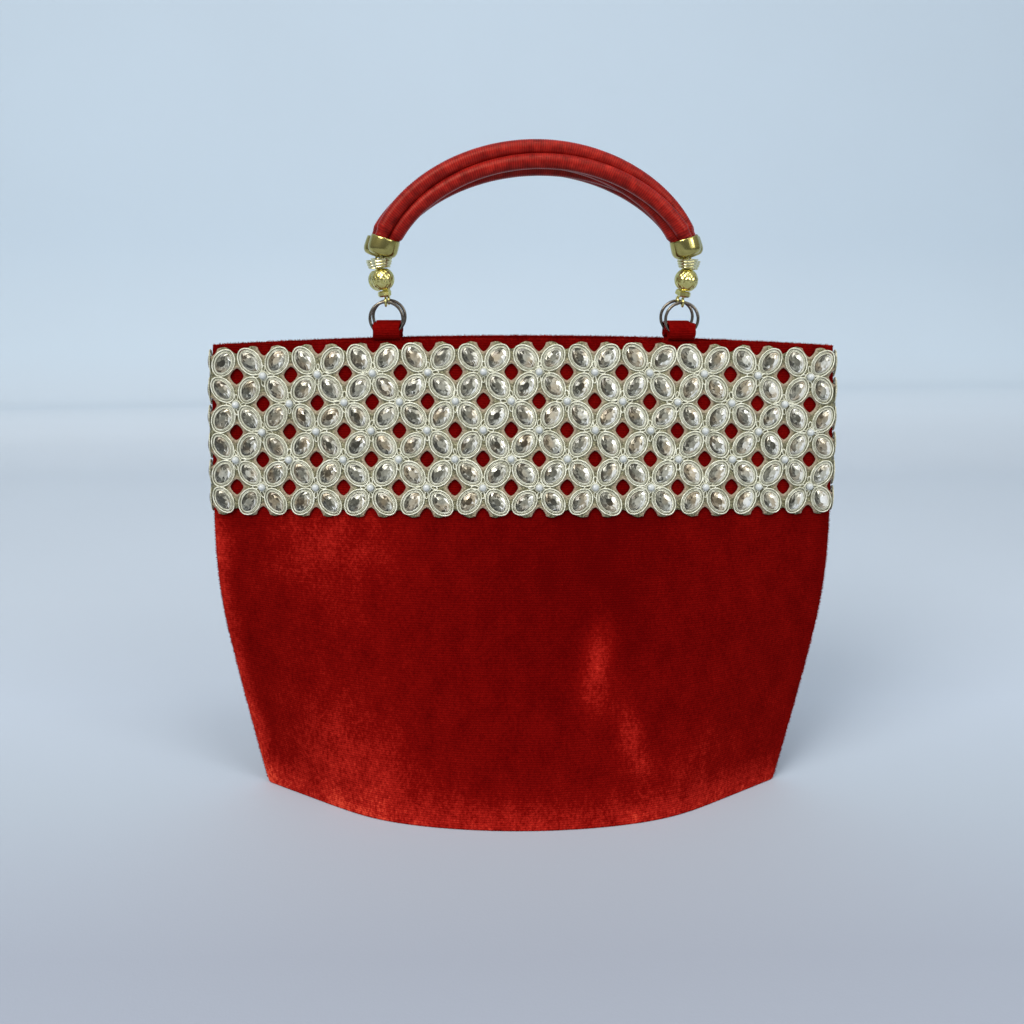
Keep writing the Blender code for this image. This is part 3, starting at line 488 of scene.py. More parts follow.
def plain_half_width(z):
    """Half width: out to the widest line by a power of the way down, in again by a square."""
    below = np.clip(1.0 - z / WIDEST_HEIGHT, 0.0, None)
    above = np.clip((z - WIDEST_HEIGHT) / (MOUTH_HEIGHT - WIDEST_HEIGHT), 0.0, None)
    out = WIDEST_HALF_WIDTH - (WIDEST_HALF_WIDTH - BASE_HALF_LENGTH) * below ** WIDENING
    return out - (WIDEST_HALF_WIDTH - MOUTH_HALF_WIDTH) * above * above


def half_width(z):
    """Mean of three heights, so that the cloth rounds the widest line without a kink."""
    reach = np.clip(0.5 * z, 0.0, 16.0 * MM)
    return (plain_half_width(z - reach) + plain_half_width(z) + plain_half_width(z + reach)) / 3.0


def base_plan(share):
    """Boat plan: the smaller of a bow and a straight side, rounded where they cross."""
    bend = BASE_BEND_X / BASE_HALF_LENGTH
    level = BASE_BEND_DEPTH / BASE_HALF_DEPTH
    bow = np.maximum(1.0 - (1.0 - level) * (share / bend) ** 2, 0.01)
    side = np.maximum(level * (1.0 - np.abs(share)) / (1.0 - bend), 1e-6)
    power = -BASE_CORNER_SHARPNESS
    return (bow ** power + side ** power) ** (1.0 / power)


def wall_y(share, z):
    """Depth of the velvet face: the half depth at a height times the blended plan."""
    rise = np.clip(z / MOUTH_HEIGHT, 0.0, 1.0)
    blend = rise * rise * (3.0 - 2.0 * rise)
    shape = (1.0 - blend) * base_plan(share) + blend * (1.0 - share * share)
    depth = BASE_HALF_DEPTH + (MOUTH_HALF_DEPTH - BASE_HALF_DEPTH) * z / MOUTH_HEIGHT
    return SEAM_HALF_THICKNESS + (depth - SEAM_HALF_THICKNESS) * shape


def turn_in(share, z):
    """Part of the depth left near a side seam, where the cloth turns in on a quarter round."""
    width = half_width(z)
    past = (np.abs(share) * width - width + SEAM_HALF_THICKNESS) / SEAM_HALF_THICKNESS
    return np.sqrt(1.0 - np.clip(past, 0.0, 1.0) ** 2)


def on_wall(side, share, z, inset=0.0):
    """Points on the wall, inset from the outer face, turned in at the side seams."""
    y = SEAM_GAP + (wall_y(share, z) - inset - SEAM_GAP) * turn_in(share, z)
    return xyz(share * half_width(z), side * np.maximum(y, SEAM_GAP), z)


def wall_normal(side, share, z):
    """Outward normal: cross product of the steps along the width and up the wall."""
    step, rise = 0.002, 0.2 * MM
    away = np.sign(share + 1e-9)
    across = (on_wall(side, share, z) - on_wall(side, share - step * away, z)) * away[..., None]
    up = on_wall(side, share, z + rise) - on_wall(side, share, z - rise)
    return unit(side * np.cross(up, across), 1e-12)


levels = np.array([0.0, MOUTH_HEIGHT])
print("half depth at base and mouth in mm:", np.round(wall_y(np.zeros(2), levels) / MM, 1))

# %% [markdown]
# ## Velvet walls
# Each wall is one piece of velvet, folded over at the mouth and turned in at the side seams.
# It could be a thin sheet with a Solidify modifier, but then the fold at the mouth is square.
# Here one closed loop runs up the outside, over a round edge and down the inside, and is
# repeated from seam to seam. A few broad waves let the cloth sag between base and band.

# %% Cloth waves, nap and the walls
def spread(value, middle, width):
    """Bell curve: e to the minus square of the distance over the width."""
    return np.exp(-((value - middle) / width) ** 2)


def cloud(share, z, amount, middle, width, height, tall, slant=0.0, level=0.0):
    """Amount times a bell along the wall times a bell up it; slant moves the first with height."""
    across = share + slant * (z - level)
    return amount * spread(across, middle, width) * spread(z, height, tall)


# Each row: the amount in mm, middle and width along the wall, height and size up it in metres,
# and for a slanted cloud its slant and the height that it turns about.
SAGS = ((0.9, -0.78, 0.10, 0.105, 0.035), (-1.3, -0.90, 0.035, 0.115, 0.03, 1.6, 0.11),
        (0.8, 0.24, 0.09, 0.055, 0.03, -2.2, 0.06))
BAND_FOOT = 0.142


def sag(share, z):
    """Soft outward swell of the cloth in metres, zero at the base, the seams and the band."""
    hold = np.clip(z / 0.02, 0.0, 1.0) * np.clip((BAND_FOOT - z) / 0.02, 0.0, 1.0)
    swell = sum(cloud(share, z, *row) for row in SAGS)
    swell += 0.5 * np.sin(9.0 * share + 60.0 * z) * spread(z, 0.05, 0.05)
    swell += 0.35 * np.sin(23.0 * share - 40.0 * z + 1.3) * spread(z, 0.03, 0.03)
    return swell * hold * (1.0 - share ** 6) * MM


# Each row, one brushed patch of painted sheen: the amount of lean, then the same places and
# sizes as above.
BRUSHED_SHEEN = ((0.20, -0.62, 0.24, 0.028, 0.026), (0.24, -0.60, 0.26, 0.128, 0.024),
           (0.44, 0.23, 0.050, 0.072, 0.021, -0.3, 0.07), (0.34, 0.36, 0.055, 0.038, 0.022, 2.8, 0.04),
           (0.16, 0.62, 0.09, 0.026, 0.014), (-0.10, 0.22, 0.20, 0.115, 0.035))


def pile_lean_and_sheen(share, z):
    """Painted sheen of the leaning pile, 0 to 1: lighter low down, at the left side and in patches."""
    lean = 0.10 + 0.34 * spread(z, 0.0, 0.013) + 0.12 * spread(z, 0.0, 0.045)
    lean += 0.45 * spread(share, -1.0, 0.045) * np.clip((0.16 - z) / 0.03, 0.0, 1.0)
    lean += 0.14 * spread(share, -0.66, 0.36) * np.clip((0.16 - z) / 0.05, 0.0, 1.0)
    lean += 0.07 * spread(share, 0.75, 0.28) + sum(cloud(share, z, *row) for row in BRUSHED_SHEEN)
    return np.clip(lean, 0.0, 1.0)


SIDES = {"front": -1, "back": 1}
WALL_COLUMNS, WALL_ROWS = 221, 91


def make_wall(word, side):
    """Closed loop over the wall's height, repeated along its width."""
    reach = 1.0 - SEAM_HALF_THICKNESS / half_width(0.1)
    bend = reach + (1.0 - reach) * np.sin(np.linspace(0.0, math.pi / 2.0, 7))[1:]
    share = np.concatenate([-bend[::-1], np.linspace(-reach, reach, WALL_COLUMNS), bend])
    radius = VELVET / 2.0
    top, foot = mouth_height(share) - radius, radius + 0.1 * MM
    up = np.linspace(0.0, 1.0, WALL_ROWS)[:, None]
    over = np.linspace(0.0, math.pi, 9)[1:-1, None]
    level = foot + (top - foot) * up
    z = np.concatenate([level, top + radius * np.sin(over), level[::-1],
                        foot - radius * np.sin(over) + 0.0 * share])
    inset = np.concatenate([0.0 * up, radius * (1.0 - np.cos(over)), VELVET + 0.0 * up,
                            radius * (1.0 + np.cos(over))])
    share = np.broadcast_to(share, z.shape)
    points = on_wall(side, share, z, inset)
    swell = sag(share, z) * (z < 0.15)
    points[:WALL_ROWS, :, 1] += side * swell[:WALL_ROWS]
    faces = grid_faces(*z.shape, close_rows=True)
    # Each point carries the painted sheen of its pile.
    return make_piece(f"{word}_wall", points, [faces], velvet, "bag", [f"{word}_panel"],
                      weld=0.004 * MM, values={"nap": pile_lean_and_sheen(share, z).ravel()})


for word, side in SIDES.items():
    make_wall(word, side)

# %% [markdown]
# At the mouth and down the side seams the pile stands up from the fold and blurs the edge. Each
# tuft is a thin pyramid with three sides. A hair system would be finer, but it isn't a mesh.

# %% Pile on the folds
def tufts(name, roots, ways, seed):
    """One three-sided pyramid from each root along its way."""
    chance = np.random.default_rng(seed)
    count = len(roots)
    ways = unit(ways + chance.normal(0.0, 0.35, (count, 3)))
    first = unit(np.cross(ways, chance.normal(0.0, 1.0, (count, 3))))
    second = np.cross(ways, first)
    foot = roots - ways * 0.2 * MM
    thick = chance.uniform(0.08, 0.14, (count, 1)) * MM
    corners = [foot + thick * (math.cos(turn) * first + math.sin(turn) * second)
               for turn in full_turn(3)]
    tips = roots + ways * chance.uniform(0.3, 1.0, (count, 1)) * MM
    points = np.stack([*corners, tips], axis=1).reshape(-1, 3)
    faces = repeat_faces(np.array([[0, 1, 3], [1, 2, 3], [2, 0, 3], [0, 2, 1]]), count, 4)
    # All tufts carry one fixed level of painted sheen.
    return make_piece(name, points, [faces], velvet, "bag", smooth=False,
                      values={"nap": np.full(4 * count, 0.42)})


def make_pile(word, side, count=5200):
    """Tufts over the round fold of the mouth and along the outer edge of the side seams."""
    chance = np.random.default_rng(31 + side)
    share = chance.uniform(-1.0, 1.0, count)
    turn = chance.uniform(0.0, 0.9 * math.pi, count)
    radius = VELVET / 2.0
    z = mouth_height(share) - radius + radius * np.sin(turn)
    hem = on_wall(side, share, z, radius * (1.0 - np.cos(turn)))
    hem_way = xyz(0.0, side * np.cos(turn), np.sin(turn))
    end = np.where(chance.uniform(0.0, 1.0, count // 2) < 0.5, -1.0, 1.0)
    seam = on_wall(side, end * 0.999, chance.uniform(0.002, 0.139, count // 2))
    ways = np.concatenate([hem_way, xyz(end, 0.0, 0.0)])
    return tufts(f"{word}_pile", np.concatenate([hem, seam]), ways, 41 + side)


for word, side in SIDES.items():
    make_pile(word, side)

# %% [markdown]
# ## Base
# The bottom is a stiff plate covered in velvet. Its edge is round, because the cloth is drawn
# over the board. The plate is a rounded strip, as deep as the wall, at each place along it.

# %% Base plate
def make_base():
    """Flat oval loop in depth and height at each share of the length, inside the walls."""
    count, sides, length = 161, 48, 0.986
    share = np.sin(np.linspace(-math.pi / 2.0, math.pi / 2.0, count)) * length
    turn = full_turn(sides)[:, None]
    radius = BASE_CLOTH / 2.0
    depth = np.maximum(wall_y(share, WALL_FOOT) - VELVET - 2.0 * radius, 0.1 * MM)
    flat = np.clip(np.cos(turn) * 1.6, -1.0, 1.0)
    y = depth * flat + radius * np.cos(turn)
    z = radius + radius * np.clip(np.sin(turn) * 1.25, -1.0, 1.0)
    points = xyz(share * half_width(WALL_FOOT), y, z)
    ends = [np.arange(sides)[None] * count, np.arange(sides)[::-1][None] * count + count - 1]
    groups = [grid_faces(sides, count, close_rows=True), *ends]
    # The base carries one fixed level of painted sheen.
    return make_piece("base_cover", points, groups, velvet, "bag", ["base_panel"],
                      values={"nap": np.full(sides * count, 0.3)})


make_base()

# %% [markdown]
# ## Lining
# Inside hangs a bag of red satin with its own floor. It is a closed skin: under the floor, up
# the outside, over the rim, down the inside and over the floor, with small gathers at the rim.

# %% Lining bag
LINING_FOOT, LINING, LINING_INSET, LINING_DROP = 4.2 * MM, 0.6 * MM, 1.9 * MM, 10.0 * MM


def lining_row(share, z, inset, draw):
    """A level loop: front run and back run, drawn in towards the middle line by draw."""
    y = (wall_y(share, z) - inset) * draw
    gather = 0.22 * MM * np.sin(share * 120.0) * np.clip((z - 0.12) / 0.08, 0.0, 1.0) * draw
    front = xyz(share * half_width(z), -(y + gather), z)
    back = front * (1.0, -1.0, 1.0)
    return np.concatenate([front, back[::-1]])


def make_lining_bag():
    """Level loops: under the floor, up the outside, down the inside and over the floor."""
    rows = []
    flat = np.linspace(-1.0, 1.0, 121)
    for levels, skin in ((np.linspace(0.0, 1.0, 40), 0.0), (np.linspace(1.0, 0.0, 40), LINING)):
        foot = LINING_FOOT + skin
        end = 4.0 * MM + 2.0 * skin
        for level in levels:
            share = flat * (1.0 - end / half_width(foot + (0.2 - foot) * level))
            z = foot + (mouth_height(share) - LINING_DROP - foot) * level
            rows.append((share, z, LINING_INSET + skin))
    under = [lining_row(*rows[0], draw) for draw in (0.0, 0.33, 0.66)]
    walls = [lining_row(*row, 1.0) for row in rows]
    floor = [lining_row(*rows[-1], draw) for draw in (0.66, 0.33, 0.0)]
    points = np.stack(under + walls + floor)
    faces = grid_faces(*points.shape[:2], close_columns=True)
    return make_piece("satin_lining", points, [faces], lining_finish, "bag", ["lining"],
                      weld=0.002 * MM)


make_lining_bag()
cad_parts["base_board"].material_slots[0].material = board_finish
print("board finish set on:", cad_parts["base_board"].name)

# %% [markdown]
# ## The embroidered band
# The band is laid out on a grid of 23 columns and 6 rows for each face. Petals lie along the
# diagonals of its cells. Where four petals meet tip to tip there is a pearl, and between
# them, at every other crossing, a diamond hole shows the velvet. The embroiderer's hand is
# never exact, so each petal is turned and shifted a little, from a fixed seed.

# %% The band's grid on the wall
COLUMNS, ROWS = 23, 6
BAND_HEIGHT, BAND_BELOW_MOUTH, BAND_GAP, NET = 72.8 * MM, 1.5 * MM, 0.4 * MM, 0.8 * MM
BAND_TOP = BAND_GAP + NET
ACROSS, DOWN = 2.0 * MOUTH_HALF_WIDTH / COLUMNS, BAND_HEIGHT / ROWS


def band_height(share, row):
    """Height of a row's line: the rows follow the mouth's edge."""
    return mouth_height(share) - BAND_BELOW_MOUTH - BAND_HEIGHT * row / ROWS


def on_band(side, column, row, lift=0.0):
    """Points over the wall at grid places, lifted along the wall's normal."""
    share = np.clip(2.0 * column / COLUMNS - 1.0, -1.0, 1.0)
    z = band_height(share, row)
    return on_wall(side, share, z) + np.asarray(lift)[..., None] * wall_normal(side, share, z)


def band_axes(side, column, row, turn):
    """For each place: the turned direction along, the one across, and the normal."""
    right = on_band(side, column + 0.02, row) - on_band(side, column, row)
    share = 2.0 * column / COLUMNS - 1.0
    normal = wall_normal(side, share, band_height(share, row))
    right = unit(right - normal * np.sum(right * normal, axis=-1, keepdims=True))
    up = np.cross(normal, right)
    along = np.cos(turn)[:, None] * right + np.sin(turn)[:, None] * up
    return np.stack([along, np.cross(normal, along), normal], axis=1)


def petal_layout(side):
    """Middle, turn and size of each petal, with a hand's small errors."""
    chance = np.random.default_rng(7 if side < 0 else 11)
    column, row = np.meshgrid(np.arange(COLUMNS), np.arange(ROWS), indexing="ij")
    column, row = column.ravel(), row.ravel()
    slant = np.where((column + row) % 2 == 0, 1.0, -1.0) * -side
    turn = slant * np.radians(53.0) + np.radians(chance.normal(0.0, 5.0, len(column)))
    shift = chance.normal(0.0, 0.018, (2, len(column)))
    size = 1.0 + chance.normal(0.0, 0.025, len(column))
    return column + 0.5 + shift[0], row + 0.5 + shift[1], turn, size, chance


print("petal pitch in mm:", round(ACROSS / MM, 2), "by", round(DOWN / MM, 2))


# %% [markdown]
# ### The ground
# The ground is a net with a hole at every other crossing. A tile round each crossing is
# filled either with squares, or with a fan of quads from the rounded diamond of the hole
# out to the tile's edge. Tiles share their edge points, so the net is one skin. Its upper and
# lower borders bulge round each petal. A Solidify modifier gives it the thickness of cloth.

# %% Net with diamond holes
HOLE_ACROSS, HOLE_DOWN, HOLE_POWER, TILE = 2.95 * MM, 3.5 * MM, 1.4, 8


def tile_edge():
    """Places round the edge of a unit tile, TILE on each of its sides."""
    run = np.linspace(-0.5, 0.5, TILE, endpoint=False)
    half = np.full(TILE, 0.5)
    return np.concatenate([np.stack([run, -half], 1), np.stack([half, run], 1),
                           np.stack([-run, half], 1), np.stack([-half, -run], 1)])


def hole_edge(edge):
    """Rounded diamond: the point at the same angle where |x/a|^p + |y/b|^p is 1."""
    a, b = HOLE_ACROSS / ACROSS, HOLE_DOWN / DOWN
    reach = (np.abs(edge[:, 0] / a) ** HOLE_POWER + np.abs(edge[:, 1] / b) ** HOLE_POWER)
    return edge * (reach ** (-1.0 / HOLE_POWER))[:, None]


def net_tiles():
    """Grid places and quads of all tiles, cut at the band's borders."""
    edge = tile_edge()
    hole = hole_edge(edge)
    rings = np.stack([hole + (edge - hole) * part for part in (0.0, 0.12, 0.4, 0.7, 1.0)])
    fan = (rings.reshape(-1, 2), grid_faces(5, len(edge), close_columns=True))
    line = np.linspace(-0.5, 0.5, TILE + 1)
    squares = (np.stack(np.meshgrid(line, line, indexing="ij"), -1).reshape(-1, 2),
               grid_faces(TILE + 1, TILE + 1))
    places, quads, total = [], [], 0
    for column in range(COLUMNS + 1):
        for row in range(ROWS + 1):
            shape, faces = fan if (column + row) % 2 == 0 else squares
            place = shape + (column, row)
            middle = place[faces].mean(axis=1)
            inside = (middle > 0.0).all(axis=1) & (middle[:, 0] < COLUMNS) & (middle[:, 1] < ROWS)
            places.append(place)
            quads.append(faces[inside] + total)
            total += len(place)
    return np.concatenate(places), np.concatenate(quads)


def weld_places(places, quads):
    """Merge places that are the same to five decimals, and drop the unused ones."""
    places, index = np.unique(np.round(places, 5), axis=0, return_inverse=True)
    quads = index.reshape(-1)[quads]
    used, again = np.unique(quads, return_inverse=True)
    return places[used], again.reshape(quads.shape)


def border_swell(place):
    """Row shift near the upper and lower borders: out round each petal, in between two petals,
    and most of all at the crossings that have no hole."""
    column, row = place.T
    swell = 0.085 * np.abs(np.cos(math.pi * column)) ** 1.5 - 0.055
    notch = [0.19 * np.abs(np.sin(0.5 * math.pi * (column + border))) ** 10 for border in (0, ROWS)]
    near_top = np.clip(1.0 - row / 0.5, 0.0, 1.0)
    near_foot = np.clip(1.0 - (ROWS - row) / 0.5, 0.0, 1.0)
    return (swell + notch[0]) * near_top - (swell + notch[1]) * near_foot


def hole_distance(place):
    """Distance in the diamond measure from the nearest hole's middle, 1 at its edge."""
    column = np.round(place[:, 0])
    row = np.round(place[:, 1])
    best = np.full(len(place), 9.0)
    for a in (-1, 0, 1):
        for b in (-1, 0, 1):
            even = (column + a + row + b) % 2 == 0
            x = np.abs(place[:, 0] - column - a) * ACROSS / HOLE_ACROSS
            y = np.abs(place[:, 1] - row - b) * DOWN / HOLE_DOWN
            far = (x ** HOLE_POWER + y ** HOLE_POWER) ** (1.0 / HOLE_POWER)
            best = np.where(even, np.minimum(best, far), best)
    return best


def make_net(word, side):
    place, quads = weld_places(*net_tiles())
    near = np.clip((1.75 - hole_distance(place)) / 0.75, 0.0, 1.0)
    lift = BAND_TOP + 0.28 * MM * spread(near, 0.75, 0.25) - 0.2 * MM * (near > 0.98)
    points = on_band(side, place[:, 0], place[:, 1] + border_swell(place), lift)
    if side > 0:
        quads = quads[:, ::-1]
    piece = make_piece(f"{word}_net", points, [quads], ground_finish, "bag",
                       [f"{word}_band"], keep_turn=True, values={"near_hole": near ** 1.5})
    first = points[quads[0]]
    facing = np.cross(first[1] - first[0], first[3] - first[0])[1] * side
    print("net faces outward:", bool(facing > 0.0))
    thick = piece.modifiers.new("cloth thickness", "SOLIDIFY")
    thick.thickness, thick.offset = 0.7 * MM, -1.0
    return piece


for word, side in SIDES.items():
    make_net(word, side)

# %% [markdown]
# ### Petals
# A petal is three rings of twisted thread round a pointed oval stone. The rings are tubes on
# one almond curve at three sizes: the outer and the inner ring stand proud, and the one
# between lies lower. One ring is worked out once and copied to all the petals of a face.

# %% Almond curves, rings and stones
X, Y, Z = np.eye(3)
# Each ring of a stone: its size, its height and its turn.
STONE_RINGS = ((1.0, 0.0, 0.0), (0.98, 0.45 * MM, 0.0), (0.74, 0.95 * MM, 0.26), (0.40, 1.30 * MM, 0.0))


def almond(turn, half_length, half_breadth, point):
    """Oval whose breadth is the sine times its own size to a power, so its ends are pointed."""
    sine = np.sin(turn)
    return xyz(half_length * np.cos(turn), half_breadth * sine * np.abs(sine) ** point, 0.0)


def tube_uv(line, sides):
    """Millimetres along the line, and a share of the turn round it."""
    run = np.linalg.norm(np.diff(line, axis=0), axis=1)
    length = np.concatenate([[0.0], np.cumsum(run)]) / MM
    return grid_uv(length, np.linspace(0.0, 1.0, sides + 1))


def ring_tube(half_length, half_breadth, point, radius, height, steps=20, sides=5):
    """Tube along an almond: curve + radius * (cos roll * outward + sin roll * up)."""
    turn = full_turn(steps)
    turn = turn - 0.16 * np.sin(2.0 * turn)
    curve = almond(turn, half_length, half_breadth, point)
    along = unit(np.roll(curve, -1, axis=0) - np.roll(curve, 1, axis=0))
    outward = np.cross(along, Z)
    roll = full_turn(sides)[None, :, None]
    points = curve[:, None] + radius * (np.cos(roll) * outward[:, None] + np.sin(roll) * Z)
    points[..., 2] += height
    faces = grid_faces(steps, sides, close_rows=True, close_columns=True)
    return points.reshape(-1, 3), faces, tube_uv(np.concatenate([curve, curve[:1]]), sides)


def cut_stone(half_length, half_breadth):
    """Navette cut: girdle, crown and table rings of twelve points, each smaller and higher."""
    steps = 12
    turn = full_turn(steps)
    turn = turn - 0.12 * np.sin(2.0 * turn)
    rings = []
    for part, height, shift in STONE_RINGS:
        ring = almond(turn + shift, half_length * part, half_breadth * part, 0.22)
        rings.append(ring + height * Z)
    quads = grid_faces(len(rings), steps, close_columns=True)
    halves = np.concatenate([quads[:, [0, 1, 2]], quads[:, [0, 2, 3]]])
    floor, table = end_caps(steps, (len(rings) - 1) * steps)
    return np.concatenate(rings), [halves, table, floor]


def scatter(points, origins, axes, sizes):
    """Copies of a shape: origin + size * (x * along + y * across + z * normal)."""
    turned = np.einsum("kj,njm->nkm", points, axes) * sizes[:, None, None]
    return (origins[:, None] + turned).reshape(-1, 3)


def copies(shape, groups, origins, axes, sizes):
    """Points and faces of one shape copied to every place."""
    groups = [repeat_faces(group, len(origins), len(shape)) for group in groups]
    return scatter(shape, origins, axes, sizes), groups


# %% Thread rings on both faces
RINGS = [(6.30 * MM, 4.72 * MM, 0.10, 0.34 * MM, 0.36 * MM),
         (5.50 * MM, 3.98 * MM, 0.14, 0.19 * MM, 0.16 * MM),
         (5.02 * MM, 3.50 * MM, 0.18, 0.24 * MM, 0.46 * MM)]


def make_rings(name, origins, axes, size, shapes):
    """Every shape in turn, copied to every place and joined in one piece."""
    points, faces, maps, total = [], [], [], 0
    for shape in shapes:
        ring, quads, uv = ring_tube(*shape)
        placed, groups = copies(ring, [quads], origins, axes, size)
        points.append(placed)
        faces.append(groups[0] + total)
        maps.append(np.tile(uv, (len(origins), 1)))
        total += len(points[-1])
    return make_piece(name, np.concatenate(points), [np.concatenate(faces)], thread_finish,
                      "bag", uv=np.concatenate(maps))


def facet_flash(points, groups, light, chance):
    """Painted glint and shade of each facet: how far it leans towards a fixed light, and a chance."""
    tones = []
    for faces in groups:
        first, second, third = (points[faces[:, index]] for index in range(3))
        normal = unit(np.cross(second - first, third - first))
        lean = np.clip(normal @ light, -0.2, 1.0)
        tones.append(0.10 + 1.45 * lean * np.abs(lean) + chance.normal(0.0, 0.17, len(faces)))
    return np.clip(np.concatenate(tones), 0.0, 1.0)


def make_stones(name, origins, axes, size, half_sizes, light, chance):
    """One cut stone copied to every place."""
    stone, groups = cut_stone(*half_sizes)
    placed, groups = copies(stone, groups, origins + axes[:, 2] * 0.3 * MM, axes, size)
    return make_piece(name, placed, groups, stone_finish, "bag", smooth=False,
                      values={"flash": facet_flash(placed, groups, light, chance)})


STONE, SIDE_STONE = (4.72 * MM, 3.24 * MM), (4.1 * MM, 1.5 * MM)
SIDE_RINGS = [(5.6 * MM, 2.7 * MM, 0.10, 0.34 * MM, 0.34 * MM),
              (4.8 * MM, 2.0 * MM, 0.14, 0.26 * MM, 0.30 * MM)]
# The way that the facets with the painted white glint face, on the side of the bag and at its ends.
LIGHT, SIDE_LIGHT = (0.86, 0.35, -0.12), np.array([0.9, -0.3, 0.1])


def make_petals(word, side):
    column, row, turn, size, chance = petal_layout(side)
    origins = on_band(side, column, row, BAND_TOP)
    axes = band_axes(side, column, row, turn)
    make_rings(f"{word}_thread_rings", origins, axes, size, RINGS)
    light = np.array(LIGHT) * (1.0, side, 1.0)
    make_stones(f"{word}_stones", origins, axes, size, STONE, light, chance)


def make_side_ovals(word, end):
    """One column of slim ovals down a side seam, facing sideways."""
    chance = np.random.default_rng(20 + end)
    row = np.arange(ROWS) + 0.5
    z = band_height(1.0, row)
    origins = xyz(end * (half_width(z) + 0.35 * MM), 0.0, z)
    axes = np.repeat(np.stack([Z, np.cross(end * X, Z), end * X])[None], ROWS, axis=0)
    size = 1.0 + chance.normal(0.0, 0.02, ROWS)
    make_rings(f"{word}_side_ovals", origins, axes, size, SIDE_RINGS)
    make_stones(f"{word}_side_stones", origins, axes, size, SIDE_STONE, SIDE_LIGHT, chance)


ENDS = {"left": -1, "right": 1}
for word, side in SIDES.items():
    make_petals(word, side)
for word, end in ENDS.items():
    make_side_ovals(word, end)

# %% [markdown]
# ### Pearls
# A pearl sits on each inner crossing that has no hole. It is a ball of a few dozen faces,
# smooth shaded, with a collar of thread round its foot.

# %% Pearls and their collars
PEARL_RADIUS, PEARL_LIFT, KNOT_REACH = 1.62 * MM, 1.1 * MM, 3.15 * MM
COLLAR = (1.85 * MM, 1.85 * MM, 0.0, 0.32 * MM, 0.15 * MM, 12, 5)
KNOT = (1.35 * MM, 0.72 * MM, 0.0, 0.27 * MM, 0.30 * MM, 12, 5)


def ball(radius, rows=7, columns=10):
    """Sphere: radius times the cosine and sine of a latitude and a longitude."""
    up = np.linspace(-math.pi / 2.0, math.pi / 2.0, rows + 2)[1:-1, None]
    turn = full_turn(columns)
    points = xyz(np.cos(up) * np.cos(turn), np.cos(up) * np.sin(turn), np.sin(up)) * radius
    ends = end_caps(columns, (rows - 1) * columns)
    return points.reshape(-1, 3), [grid_faces(rows, columns, close_columns=True), *ends]


def make_pearls(word, side):
    column, row = np.meshgrid(np.arange(1, COLUMNS), np.arange(1, ROWS), indexing="ij")
    odd = (column + row) % 2 == 1
    column, row = column[odd].astype(float), row[odd].astype(float)
    axes = band_axes(side, column, row, np.zeros(len(column)))
    foot = on_band(side, column, row, BAND_TOP)
    sizes = np.ones(len(column))
    placed, groups = copies(*ball(PEARL_RADIUS), foot + axes[:, 2] * PEARL_LIFT, axes, sizes)
    make_piece(f"{word}_pearls", placed, groups, pearl_finish, "bag")
    make_rings(f"{word}_pearl_collars", foot, axes, sizes, [COLLAR])
    make_knots(word, side, column, row)


def make_knots(word, side, column, row):
    """Four small loops of thread round each pearl, where the petals' tips meet."""
    chance = np.random.default_rng(5 - side)
    count = 4 * len(column)
    spoke = np.tile(np.arange(4) * math.pi / 2.0, len(column))
    across = np.repeat(column, 4) + np.cos(spoke) * KNOT_REACH / ACROSS
    down = np.repeat(row, 4) + np.sin(spoke) * KNOT_REACH / DOWN
    axes = band_axes(side, across, down, spoke + chance.normal(0.0, 0.25, count))
    places = on_band(side, across, down, BAND_TOP)
    make_rings(f"{word}_thread_knots", places, axes, 1.0 + chance.normal(0.0, 0.1, count), [KNOT])


for word, side in SIDES.items():
    make_pearls(word, side)

# %% [markdown]
# ## Velvet loops and jump rings
# At each handle end a strip of velvet is folded over a jump ring and sewn in behind the hem.
# The strip is a flat band carried round the hole, with its root going down inside the mouth.
# The ring is a plain torus of dark plated wire.

# %% Places of the loops and the handle's line
TAB_X, HANDLE_SHIFT, HANDLE_PLANE = 62.95 * MM, 4.0 * MM, 6.6 * MM
TAB_WIDTH, TAB_WALL, TAB_GAP = 11.3 * MM, 1.1 * MM, 0.3 * MM
TAB_ROOT, TAB_ROOT_DEPTH = 1.3 * MM, 8.0 * MM
RING_RADIUS, RING_WIRE, TAB_FLOOR = 6.95 * MM, 0.65 * MM, 0.8 * MM
TAB_FOOT = float(mouth_height((TAB_X - HANDLE_SHIFT) / MOUTH_HALF_WIDTH)) + TAB_GAP
RING_FOOT = TAB_FOOT + TAB_FLOOR + TAB_GAP + RING_WIRE
RING_DROP = math.sqrt(RING_RADIUS ** 2 - (TAB_WIDTH / 2.0) ** 2)
LOOP_REACH = (RING_RADIUS - RING_DROP + RING_WIRE * RING_RADIUS / RING_DROP + RING_WIRE) / 2.0
LOOP_Z, LOOP_HOLE = RING_FOOT - RING_WIRE + LOOP_REACH, LOOP_REACH + TAB_GAP
EYE_Z = RING_FOOT + 2.0 * RING_RADIUS
print("loop axis, handle axis in mm:", round(LOOP_Z / MM, 2), round(EYE_Z / MM, 2))


def rounded_box(half_width, half_height, power, steps):
    """Loop of a rounded rectangle: cosine and sine to a small power, by half sizes."""
    turn = full_turn(steps)
    x = half_width * np.sign(np.cos(turn)) * np.abs(np.cos(turn)) ** power
    y = half_height * np.sign(np.sin(turn)) * np.abs(np.sin(turn)) ** power
    return x, y


